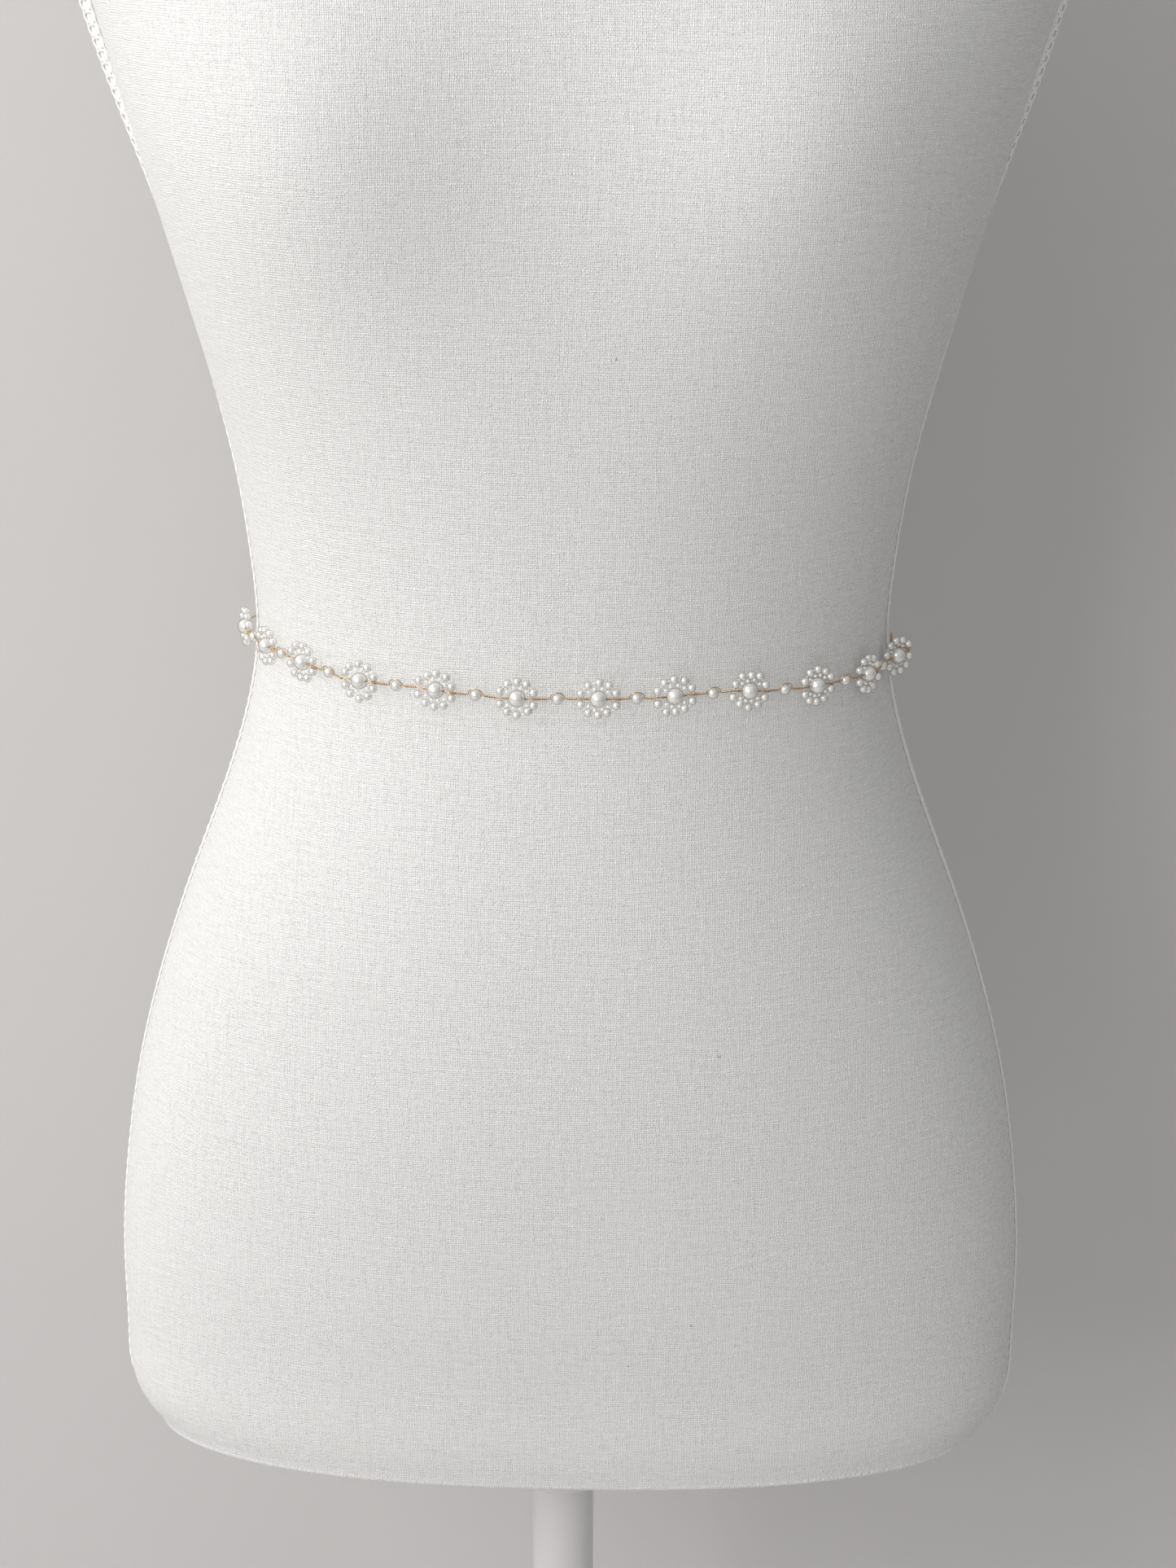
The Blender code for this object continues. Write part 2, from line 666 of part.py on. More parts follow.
def make_knot(waist):
    """The knot at the middle of the back: a squarish lump that both ribbons run into."""
    angle = FRONT + math.pi
    lift = RIBBON_LIFT + KNOT_DEPTH / 2
    spot = over_form(0, angle, lift)
    turns = np.arange(KNOT_SIDES) * 2 * math.pi / KNOT_SIDES
    flat, tall = squared(np.cos(turns)), squared(np.sin(turns))
    rings = []
    for tilt in np.linspace(-1, 1, KNOT_ROWS + 2)[1:-1] * math.pi / 2:
        rise, reach = squared(math.sin(tilt)), squared(math.cos(tilt))
        x = spot[0] + KNOT_WIDTH / 2 * reach * flat
        y = np.full(KNOT_SIDES, spot[1] + KNOT_DEPTH / 2 * rise)
        z = spot[2] + KNOT_HEIGHT / 2 * reach * tall
        rings.append(np.column_stack([x, y, z]))
    place("ribbon_knot", mesh_of("ribbon_knot", *skin(rings), "ribbon", 80), waist)


def make_tail(waist, name, side, drop):
    """One end of the ribbon, hanging from the knot down the back, cut on a slant."""
    back = FRONT + math.pi
    down = np.linspace(0, drop, TAIL_SECTIONS)
    heights = -KNOT_HEIGHT / 2 - GAP * 2 - down
    half = RIBBON_WIDTH / 2 * np.clip(TAIL_TOP_SHARE + down / TAIL_WIDENS_OVER, 0, 1)
    apart = TAIL_START + TAIL_SPLAY * down + half * TAIL_CLEAR_SHARE
    radius = np.linalg.norm(surface(heights, np.full(len(down), back))[:, :2], axis=1)
    points, faces = strip(heights, back - side * apart / radius, half, level=False)
    points = [np.array(p) for p in points]
    for k, share in zip(range(6), (-1, 0, 1, 1, 0, -1)):
        points[-6 + k][2] += side * share * TAIL_SLANT / 2
    place(name, mesh_of(name, points, faces, "ribbon", 60), waist)


def main():
    """Builds the stand, the form and the belt."""
    waist = start()
    make_stand()
    make_form(waist)
    make_neck_cap(waist)
    for side in SIDES:
        make_braid(waist, side)
    matrices = make_flowers(waist)
    for number, pair in enumerate(zip(matrices, matrices[1:]), 1):
        make_link(waist, number, *pair)
    make_end_wire(waist, "end_wire_left", -1, matrices[0])
    make_end_wire(waist, "end_wire_right", 1, matrices[-1])
    make_ribbon(waist, "ribbon_left", -1)
    make_ribbon(waist, "ribbon_right", 1)
    make_knot(waist)
    make_tail(waist, "ribbon_tail_left", -1, TAIL_DROP[0])
    make_tail(waist, "ribbon_tail_right", 1, TAIL_DROP[1])


main()
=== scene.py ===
"""The looks of a pearl flower bridal belt on its dress form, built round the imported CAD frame.

The belt is twelve pearl flowers and eleven link pearls on twisted gold wire, tied with satin
ribbon. The form is a padded torso in white linen with a braid down each side, on a white stand.
Lengths are in metres, the front faces -Y, and the floor is z = 0.
"""

from __future__ import annotations

import logging
import math
from dataclasses import dataclass, field
from enum import Enum
from typing import NamedTuple

import bmesh
import bpy
import numpy as np
from mathutils import Matrix, Vector
from numpy.typing import NDArray

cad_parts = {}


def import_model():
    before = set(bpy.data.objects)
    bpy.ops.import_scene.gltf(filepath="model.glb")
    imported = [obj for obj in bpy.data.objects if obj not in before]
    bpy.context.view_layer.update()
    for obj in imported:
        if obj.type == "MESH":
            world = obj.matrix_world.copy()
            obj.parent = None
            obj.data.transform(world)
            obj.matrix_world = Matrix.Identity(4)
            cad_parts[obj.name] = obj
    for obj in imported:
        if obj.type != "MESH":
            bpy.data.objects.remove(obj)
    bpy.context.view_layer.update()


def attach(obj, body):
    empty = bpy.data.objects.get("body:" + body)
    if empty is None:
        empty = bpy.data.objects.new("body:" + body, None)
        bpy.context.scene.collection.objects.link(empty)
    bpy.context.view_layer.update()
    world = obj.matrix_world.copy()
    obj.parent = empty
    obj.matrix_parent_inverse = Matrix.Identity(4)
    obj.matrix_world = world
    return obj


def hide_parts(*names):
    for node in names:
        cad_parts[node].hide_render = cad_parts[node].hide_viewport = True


Array = NDArray[np.float64]
Triple = tuple[float, float, float]
Colour = Triple

LOG = logging.getLogger("pearl_belt")
MM = 0.001
WAIST_HEIGHT = 647 * MM
FRONT = -math.pi / 2
BACK = math.pi / 2
HOLE_DISH = 0.86
FINE_CLOUDS = 9.0
FINE_SHARE = 0.3


class Side(Enum):
    """A side of the form, as the viewer in front of it has it."""

    LEFT = -1
    RIGHT = 1


class Panel(Enum):
    """A panel of the cover, from one side seam to the other."""

    FRONT = "front"
    BACK = "back"


class FormSection(NamedTuple):
    """One level section of the form, in millimetres, with its height over the waist."""

    height: float
    half_width: float
    front: float
    back: float
    squareness: float


class SeamPoint(NamedTuple):
    """How far forward of the side line each side seam runs at a height, in millimetres, and how
    far the rear edge of its braid stands off the form there."""

    height: float
    left: float
    right: float
    left_stand: float
    right_stand: float


class FlowerPlace(NamedTuple):
    """Where a flower sits: along the waist, over it and off it in millimetres, its turn in its own
    plane, and how far its face leans round to the right, in degrees."""

    along: float
    rise: float
    turn: float
    extra_lift: float
    lean: float


SECTIONS = (
    FormSection(-320, 159.5, 63, 90, 2.30),
    FormSection(-308, 168.5, 66, 97, 2.30),
    FormSection(-285, 172.3, 69, 102, 2.30),
    FormSection(-250, 172.7, 75, 107, 2.28),
    FormSection(-210, 169.9, 81, 111, 2.26),
    FormSection(-170, 163.7, 86, 112, 2.24),
    FormSection(-130, 153.5, 89, 109, 2.21),
    FormSection(-95, 141.8, 90, 103, 2.18),
    FormSection(-60, 128.7, 89, 94, 2.15),
    FormSection(-30, 119.3, 87.5, 84, 2.13),
    FormSection(0, 114.5, 86, 78, 2.13),
    FormSection(30, 116.1, 87, 78, 2.18),
    FormSection(60, 120.2, 90, 82, 2.28),
    FormSection(100, 129.3, 96, 90, 2.48),
    FormSection(150, 142.6, 103, 98, 2.70),
    FormSection(200, 156.8, 106, 103, 2.82),
    FormSection(240, 168.3, 103, 105, 2.80),
    FormSection(280, 179.0, 95, 104, 2.62),
    FormSection(320, 186.8, 83, 98, 2.36),
    FormSection(345, 188.2, 69, 86, 2.40),
    FormSection(362, 184.0, 59, 75, 2.40),
    FormSection(377, 169.0, 54, 67, 2.34),
    FormSection(391, 142.0, 52, 62, 2.26),
    FormSection(405, 109.0, 51, 59, 2.18),
    FormSection(419, 79.0, 51, 57, 2.08),
    FormSection(436, 60.0, 51, 55, 2.02),
    FormSection(456, 54.0, 51, 53, 2.00),
    FormSection(478, 53.0, 52, 53, 2.00),
)

SEAM = (
    SeamPoint(-320, 2.0, 3.0, 0.0, 0.0),
    SeamPoint(-60, 3.0, 4.5, 0.0, 0.0),
    SeamPoint(0, 6.5, 7.0, 0.0, 0.0),
    SeamPoint(60, 8.0, 7.0, 0.0, 0.0),
    SeamPoint(120, 10.0, 7.0, 0.3, 0.3),
    SeamPoint(160, 15.0, 9.0, 1.4, 1.1),
    SeamPoint(200, 21.5, 13.0, 3.6, 2.8),
    SeamPoint(225, 24.5, 16.0, 4.4, 2.6),
    SeamPoint(310, 22.0, 15.0, 3.0, 2.4),
    SeamPoint(362, 12.0, 8.0, 1.0, 1.0),
    SeamPoint(405, 5.0, 4.0, 0.0, 0.0),
    SeamPoint(478, 0.0, 0.0, 0.0, 0.0),
)

FLOWERS = (
    FlowerPlace(-148.6, 2.9, -4.0, 1.5, 6.0),
    FlowerPlace(-121.2, 3.2, 3.0, 0.0, 0.0),
    FlowerPlace(-98.2, 2.6, -2.0, 0.0, 0.0),
    FlowerPlace(-72.6, 0.4, 4.0, 0.0, 0.0),
    FlowerPlace(-44.2, 0.5, -3.0, 0.0, 0.0),
    FlowerPlace(-16.2, -0.7, 1.0, 0.0, 0.0),
    FlowerPlace(11.2, -0.5, -1.0, 0.0, 0.0),
    FlowerPlace(37.0, -0.1, 3.0, 0.0, 0.0),
    FlowerPlace(63.4, -0.3, -4.0, 0.0, 0.0),
    FlowerPlace(90.4, -2.2, 2.0, 0.0, 0.0),
    FlowerPlace(117.2, -3.5, -2.0, 0.0, 0.0),
    FlowerPlace(141.6, -3.3, 8.0, 1.9, -30.0),
)


def column(table: tuple[NamedTuple, ...], name: str) -> Array:
    """One named column of a table.

    Args:
        table: rows of one named tuple.
        name: the column's name.

    Returns:
        The column's values in the table's order.
    """
    return np.array([getattr(row, name) for row in table], float)


def spline(x: Array, y: Array, at: Array) -> Array:
    """The natural cubic spline through a table's rows: on each stretch a cubic, with equal slopes
    and bends where two stretches meet and no bend at the two ends.

    Args:
        x: the rows' places, rising.
        y: the rows' values.
        at: places to read it at.

    Returns:
        The values there.
    """
    run = np.diff(x)
    slope = np.diff(y) / run
    inner = np.arange(1, len(x) - 1)
    system = np.eye(len(x))
    system[inner, inner - 1] = run[:-1]
    system[inner, inner] = 2 * (run[:-1] + run[1:])
    system[inner, inner + 1] = run[1:]
    bend = np.linalg.solve(system, np.concatenate([[0.0], 6 * np.diff(slope), [0.0]]))
    at = np.asarray(at, float)
    i = np.clip(np.searchsorted(x, at) - 1, 0, len(x) - 2)
    a, b = x[i + 1] - at, at - x[i]
    cubic = (bend[i] * a**3 + bend[i + 1] * b**3) / (6 * run[i])
    left = (y[i] / run[i] - bend[i] * run[i] / 6) * a
    right = (y[i + 1] / run[i] - bend[i + 1] * run[i] / 6) * b
    return cubic + left + right


def unit(vectors: Array) -> Array:
    """The vectors at length one, along the last axis."""
    return vectors / np.linalg.norm(vectors, axis=-1, keepdims=True)


def smooth_step(value: Array) -> Array:
    """An even ramp from 0 to 1 with level ends: three times the square less twice the cube."""
    value = np.clip(value, 0, 1)
    return value * value * (3 - 2 * value)


def lengths_along(path: Array) -> Array:
    """The length of a path up to each of its points."""
    steps = np.linalg.norm(np.diff(path, axis=0), axis=1)
    return np.concatenate([[0.0], np.cumsum(steps)])


def read_path(path: Array, at: Array) -> Array:
    """Points of a path at given lengths along it, on straight stretches between its points."""
    lengths = lengths_along(path)
    return np.stack([np.interp(at, lengths, path[:, k]) for k in range(path.shape[1])], axis=-1)


def drawn_in(near: Array, start: Array, end: Array, shares: Array) -> Array:
    """A line moved to run from a start to an end: what each end is off by fades with the square of
    the way to the other end."""
    from_start, from_end = ((1 - shares) ** 2)[:, None], (shares**2)[:, None]
    return near + (start - near[0]) * from_start + (end - near[-1]) * from_end


@dataclass
class Shell:
    """Grids of points gathered into one mesh.

    Each grid is a function of two parameters worked out as a whole array. Rows of equal points,
    as at a ball's poles, and seams of two grids are welded when the piece is made.
    """

    points: list[Array] = field(default_factory=list)
    quads: list[NDArray[np.int64]] = field(default_factory=list)
    uvs: list[Array] = field(default_factory=list)
    tints: list[Array] = field(default_factory=list)
    count: int = 0

    def add(
        self,
        grid: Array,
        uv: Array | None = None,
        tint: Array | float = 0.0,
        round_columns: bool = False,
        round_rows: bool = False,
    ) -> None:
        """Adds one grid, or many alike.

        Args:
            grid: points, as (..., rows, columns, 3).
            uv: the points' places on the flat surface, as (rows, columns, 2).
            tint: one number for each grid, which its finish may read.
            round_columns: the last column joins the first.
            round_rows: the last row joins the first.
        """
        grid = grid.reshape(-1, *grid.shape[-3:])
        many, rows, columns, _ = grid.shape
        i = np.arange(rows if round_rows else rows - 1)[:, None]
        j = np.arange(columns if round_columns else columns - 1)[None, :]
        down, right = (i + 1) % rows, (j + 1) % columns
        corners = (i * columns + j, i * columns + right, down * columns + right, down * columns + j)
        quad = np.stack(np.broadcast_arrays(*corners), axis=-1).reshape(-1, 4)
        starts = self.count + np.arange(many) * rows * columns
        self.quads.append((quad[None] + starts[:, None, None]).reshape(-1, 4))
        self.points.append(grid.reshape(-1, 3))
        flat = np.zeros((rows, columns, 2)) if uv is None else uv
        self.uvs.append(np.tile(flat.reshape(-1, 2), (many, 1)))
        self.tints.append(np.repeat(np.broadcast_to(tint, (many,)), rows * columns))
        self.count += many * rows * columns

    def piece(self, name: str, finish: bpy.types.Material, sharp: float = 180) -> bpy.types.Object:
        """The finished object, with its place in its mesh.

        Args:
            name: the piece's name.
            finish: its material.
            sharp: edges over this many degrees stay sharp.

        Returns:
            The object, linked to the scene.
        """
        quads = np.concatenate(self.quads)
        mesh = bpy.data.meshes.new(name)
        mesh.from_pydata(np.concatenate(self.points), [], quads)
        layer = mesh.uv_layers.new(name="surface")
        layer.data.foreach_set("uv", np.concatenate(self.uvs)[quads.ravel()].ravel())
        tint = mesh.attributes.new("tint", "FLOAT", "POINT")
        tint.data.foreach_set("value", np.concatenate(self.tints))
        work = bmesh.new()
        work.from_mesh(mesh)
        bmesh.ops.remove_doubles(work, verts=work.verts, dist=0.001 * MM)
        bmesh.ops.recalc_face_normals(work, faces=work.faces)
        work.to_mesh(mesh)
        work.free()
        mesh.materials.append(finish)
        mesh.shade_smooth()
        if sharp < 180:
            mesh.set_sharp_from_angle(angle=math.radians(sharp))
        made = bpy.data.objects.new(name, mesh)
        bpy.context.scene.collection.objects.link(made)
        return made


def seat(piece: bpy.types.Object, slot: str, *nodes: str) -> bpy.types.Object:
    """Makes a piece ride on the frame, in place of the CAD nodes that it stands for.

    Args:
        piece: the finished object.
        slot: the record's material slot; not used.
        nodes: the CAD nodes that it replaces.

    Returns:
        The same object.
    """
    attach(piece, "root")
    if nodes:
        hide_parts(*nodes)
    LOG.info("%s: %d points, %d faces", piece.name, len(piece.data.vertices), len(piece.data.polygons))
    return piece


def let_light_past(piece: bpy.types.Object) -> None:
    """Lets the lights shine past beads this small and milky, which cast no hard shade on the cloth."""
    piece.visible_shadow = False


def tube(path: Array, radius: Array | float, ups: Array, sides: int, capped: bool = True) -> Array:
    """A round skin along a path: at each point, a circle square to the path.

    Args:
        path: points, as (points, 3).
        radius: one radius, or one for each point.
        ups: a direction at each point that isn't along the path.
        sides: points round the circle.
        capped: adds a row on the path at both ends, which closes them.

    Returns:
        The grid, as (rows, sides, 3), whose columns run round.
    """
    run = unit(np.gradient(path, axis=0))
    across = unit(np.cross(run, ups))
    ups = np.cross(across, run)
    angles = np.arange(sides) * 2 * math.pi / sides
    circle = np.cos(angles)[:, None] * across[:, None] + np.sin(angles)[:, None] * ups[:, None]
    radii = np.broadcast_to(radius, (len(path),))[:, None, None]
    skin = path[:, None] + radii * circle
    if not capped:
        return skin
    ends = np.repeat(path[[0, -1], None], sides, axis=1)
    return np.concatenate([ends[:1], skin, ends[1:]])


def with_ends(skin: Array) -> Array:
    """A skin whose columns run round, closed by a row at its middle at both ends."""
    ends = np.repeat(skin[[0, -1]].mean(axis=1, keepdims=True), skin.shape[1], axis=1)
    return np.concatenate([ends[:1], skin, ends[1:]])


def beside(path: Array, ups: Array) -> tuple[Array, Array]:
    """The directions square to a path on the form: beside it, and out of the form."""
    run = unit(np.gradient(path, axis=0))
    side = unit(np.cross(ups, run))
    return side, np.cross(run, side)


def ball(rows: int, columns: int) -> Array:
    """A ball of radius one, as latitude rows from pole to pole on the X axis."""
    tilt = np.linspace(0, math.pi, rows)[:, None]
    turn = np.arange(columns) * 2 * math.pi / columns
    reach = np.sin(tilt)
    axis = np.broadcast_to(-np.cos(tilt), (rows, columns))
    return np.stack([axis, reach * np.cos(turn), reach * np.sin(turn)], axis=-1)


def drilled_ball(diameter: float, hole: float, rows: int, columns: int) -> Array:
    """A bead drilled along X: a ball cut off where it is as narrow as the hole, dished in there.

    Args:
        diameter: of the ball.
        hole: the hole's diameter.
        rows: latitude rows between the two rims.
        columns: points round each row.

    Returns:
        The grid, whose columns run round.
    """
    rim = math.asin(hole / diameter)
    tilt = np.concatenate([[rim], np.linspace(rim, math.pi - rim, rows), [math.pi - rim]])
    reach = diameter / 2 * np.sin(tilt)
    reach[[0, -1]] = 0
    axis = -diameter / 2 * np.cos(tilt)
    axis[[0, -1]] *= HOLE_DISH
    turn = np.arange(columns) * 2 * math.pi / columns
    round_ = np.stack([np.cos(turn), np.sin(turn)], axis=-1)
    rings = reach[:, None, None] * round_[None]
    along = np.broadcast_to(axis[:, None, None], (len(tilt), columns, 1))
    return np.concatenate([along, rings], axis=-1)


def turned(profile: Array, sides: int) -> Array:
    """A skin turned round the Z axis from radius and height pairs.

    Args:
        profile: pairs, as (points, 2), from the bottom up.
        sides: points round the axis.

    Returns:
        The grid, whose columns run round.
    """
    angles = np.arange(sides) * 2 * math.pi / sides
    x = profile[:, :1] * np.cos(angles)
    y = profile[:, :1] * np.sin(angles)
    return np.stack([x, y, np.broadcast_to(profile[:, 1:], x.shape)], axis=-1)


def arc(centre: tuple[float, float], radius: float, start: float, end: float, steps: int) -> Array:
    """Points on an arc in the plane, from one angle in degrees to another."""
    turns = np.radians(np.linspace(start, end, steps))
    return np.column_stack([centre[0] + radius * np.cos(turns), centre[1] + radius * np.sin(turns)])


@dataclass(frozen=True)
class FormShape:
    """The outside of the form, as points at any height over the waist and any angle round it."""

    bottom: float = -320 * MM
    top: float = 478 * MM
    bust_lift: float = 20 * MM
    bust_apart: float = 196 * MM
    bust_level: float = 188 * MM
    bust_across: float = 38 * MM
    bust_up: float = 44 * MM
    braid_end: float = 6 * MM
    level_from: float = 0.8
    end_rise: float = 0.6
    rise_step: float = 0.5 * MM
    turn_step: float = 0.004

    def size(self, name: str, height: Array) -> Array:
        """One size of the sections at any heights, by the spline through the table."""
        return spline(column(SECTIONS, "height") * MM, column(SECTIONS, name), height)

    def point(self, height: Array, angle: Array) -> Array:
        """Points of the form.

        In plan it is a superellipse: across over half width and depth over half depth, each to
        the power of the squareness, add up to one. A bell-shaped mound is added to each side of
        the front.

        Args:
            height: heights over the waist.
            angle: angles round the form, 0 to the right and less towards the front.

        Returns:
            The points, in the frame's coordinates.
        """
        height, angle = np.broadcast_arrays(np.asarray(height, float), np.asarray(angle, float))
        across, out = np.cos(angle), np.sin(angle)
        half_width = self.size("half_width", height) * MM
        depth = np.where(out < 0, self.size("front", height), self.size("back", height)) * MM
        power = self.size("squareness", height)
        reach = (np.abs(across / half_width) ** power + np.abs(out / depth) ** power) ** (-1 / power)
        x, y = reach * across, reach * out
        beside = (x[..., None] - np.array([-0.5, 0.5]) * self.bust_apart) / self.bust_across
        above = ((height - self.bust_level) / self.bust_up)[..., None]
        mounds = self.bust_lift * np.exp(-(beside**2 + above**2) / 2).sum(axis=-1)
        return np.stack([x, y - mounds * np.clip(-out, 0, 1), height + WAIST_HEIGHT], axis=-1)

    def outward(self, height: Array, angle: Array) -> Array:
        """The direction straight out of the form, from two steps along its surface."""
        height, angle = np.asarray(height, float), np.asarray(angle, float)
        high = np.clip(height + self.rise_step, self.bottom, self.top)
        low = np.clip(height - self.rise_step, self.bottom, self.top)
        rise = self.point(high, angle) - self.point(low, angle)
        turn = self.point(height, angle + self.turn_step) - self.point(height, angle - self.turn_step)
        return unit(np.cross(turn, rise))

    def over(self, height: Array, angle: Array, lift: Array | float) -> Array:
        """Points straight over the form by a lift."""
        return self.point(height, angle) + self.outward(height, angle) * np.asarray(lift)[..., None]

    def seam_angle(self, side: Side, height: Array) -> Array:
        """The angle of a side seam at any heights."""
        heights = column(SEAM, "height") * MM
        forward = spline(heights, column(SEAM, side.name.lower()), height)
        turn = forward / self.size("half_width", height)
        return -turn if side is Side.RIGHT else turn - math.pi

    def braid_stand(self, side: Side, height: Array) -> Array:
        """How far the rear edge of a side's braid stands off the form."""
        heights = column(SEAM, "height") * MM
        stands = spline(heights, column(SEAM, side.name.lower() + "_stand"), height)
        return np.clip(stands, 0, None) * MM

    def waist(self) -> tuple[Array, Array]:
        """Angles round the waist from the middle of the back, and the length up to each."""
        angles = np.linspace(FRONT - math.pi, FRONT + math.pi, 2881)
        return angles, lengths_along(self.point(np.zeros_like(angles), angles))

    def girth(self) -> float:
        """The length round the waist."""
        return float(self.waist()[1][-1])

    def angle_along(self, along: Array) -> Array:
        """The angle of a place along the waist, measured from the middle of the front."""
        angles, lengths = self.waist()
        front = np.interp(FRONT, angles, lengths)
        return np.interp(np.asarray(along) + front, lengths, angles)

    def belt_rise(self, along: Array) -> Array:
        """The belt's height over the waist, through the flowers and level into the knot."""
        back = self.girth() / 2
        places, rises = column(FLOWERS, "along") * MM, column(FLOWERS, "rise") * MM
        turn = self.level_from * back
        places = np.concatenate([[-back, -turn], places, [turn, back]])
        ends = rises[[0, -1]] * self.end_rise
        rises = np.concatenate([[0, ends[0]], rises, [ends[1], 0]])
        return np.interp(along, places, rises)

    def belt_line(self, along: Array, lift: Array | float) -> tuple[Array, Array]:
        """Points of the belt's line at a lift, and the directions out of the form there."""
        height, angle = self.belt_rise(along), self.angle_along(along)
        return self.over(height, angle, lift), self.outward(height, angle)


class Graph:
    """Writes the nodes of one material or node group."""

    def __init__(self, tree: bpy.types.NodeTree) -> None:
        """Keeps the tree.

        Args:
            tree: where the nodes go.
        """
        self.tree = tree

    def node(self, kind: str, **values: object) -> bpy.types.Node:
        """Adds a node.

        Args:
            kind: the node's type.
            values: its settings by name.

        Returns:
            The node.
        """
        made = self.tree.nodes.new(kind)
        for name, value in values.items():
            setattr(made, name, value)
        return made

    def feed(self, socket: bpy.types.NodeSocket, source: object) -> None:
        """Links a source to a socket, or sets the socket's own value."""
        if isinstance(source, bpy.types.NodeSocket):
            self.tree.links.new(source, socket)
        else:
            socket.default_value = source

    def math(self, operation: str, *terms: object) -> bpy.types.NodeSocket:
        """The result of a Math node on up to three terms."""
        made = self.node("ShaderNodeMath", operation=operation)
        for socket, term in zip(made.inputs, terms):
            self.feed(socket, term)
        return made.outputs[0]

    def noise(self, vector: object, scale: object, detail: float = 2.0) -> bpy.types.NodeSocket:
        """The grey value of a Noise Texture at a vector."""
        made = self.node("ShaderNodeTexNoise")
        self.feed(made.inputs["Vector"], vector)
        self.feed(made.inputs["Scale"], scale)
        made.inputs["Detail"].default_value = detail
        return made.outputs["Fac"]

    def stretch(self, vector: object, factors: Triple) -> bpy.types.NodeSocket:
        """A vector times three factors."""
        made = self.node("ShaderNodeVectorMath", operation="MULTIPLY")
        self.feed(made.inputs[0], vector)
        made.inputs[1].default_value = factors
        return made.outputs[0]

    def blend(self, share: object, low: object, high: Colour) -> bpy.types.NodeSocket:
        """A colour between two, by a share that changes over the surface."""
        made = self.node("ShaderNodeMix", data_type="RGBA")
        self.feed(made.inputs[0], share)
        self.feed(made.inputs[6], (*low, 1) if isinstance(low, tuple) else low)
        made.inputs[7].default_value = (*high, 1)
        return made.outputs[2]

    def ramp(self, value: object, start: float, end: float) -> bpy.types.NodeSocket:
        """A smooth rise from 0 to 1 as a value goes from a start to an end."""
        made = self.node("ShaderNodeMapRange", interpolation_type="SMOOTHSTEP")
        self.feed(made.inputs["Value"], value)
        made.inputs["From Min"].default_value = start
        made.inputs["From Max"].default_value = end
        return made.outputs["Result"]

    def spread(self, value: object, low: float, high: float) -> bpy.types.NodeSocket:
        """A value from 0 to 1 mapped to a range."""
        made = self.node("ShaderNodeMapRange")
        self.feed(made.inputs["Value"], value)
        made.inputs["To Min"].default_value = low
        made.inputs["To Max"].default_value = high
        return made.outputs["Result"]

    def group(self, tree: bpy.types.NodeTree, **inputs: object) -> bpy.types.Node:
        """Places a shared effect with its own values."""
        made = self.node("ShaderNodeGroup", node_tree=tree)
        for name, value in inputs.items():
            self.feed(made.inputs[name.replace("_", " ")], value)
        return made

    def bump(self, height: object, strength: float, distance: float) -> bpy.types.NodeSocket:
        """A normal from a height, as a Bump node gives it."""
        made = self.node("ShaderNodeBump")
        made.inputs["Strength"].default_value = strength
        made.inputs["Distance"].default_value = distance
        self.feed(made.inputs["Height"], height)
        return made.outputs["Normal"]


def new_group(name: str, inputs: dict[str, str], outputs: dict[str, str]) -> bpy.types.NodeTree:
    """An empty shader node group with named sockets.

    Args:
        name: the group's name.
        inputs: socket types by name.
        outputs: socket types by name.

    Returns:
        The group.
    """
    tree = bpy.data.node_groups.new(name, "ShaderNodeTree")
    for in_out, sockets in (("INPUT", inputs), ("OUTPUT", outputs)):
        for label, kind in sockets.items():
            tree.interface.new_socket(label, in_out=in_out, socket_type="NodeSocket" + kind)
    return tree


@dataclass(frozen=True)
class Weave:
    """How the threads of every weave wander, stand up at a crossing and swell."""

    wander: tuple[float, float] = (420.0, 130.0)
    wander_reach: float = 1.8
    stand: tuple[float, float] = (0.4, 0.75)
    slub_across: float = 0.8
    slub_along: float = 0.045
    slub_apart: float = 7.3


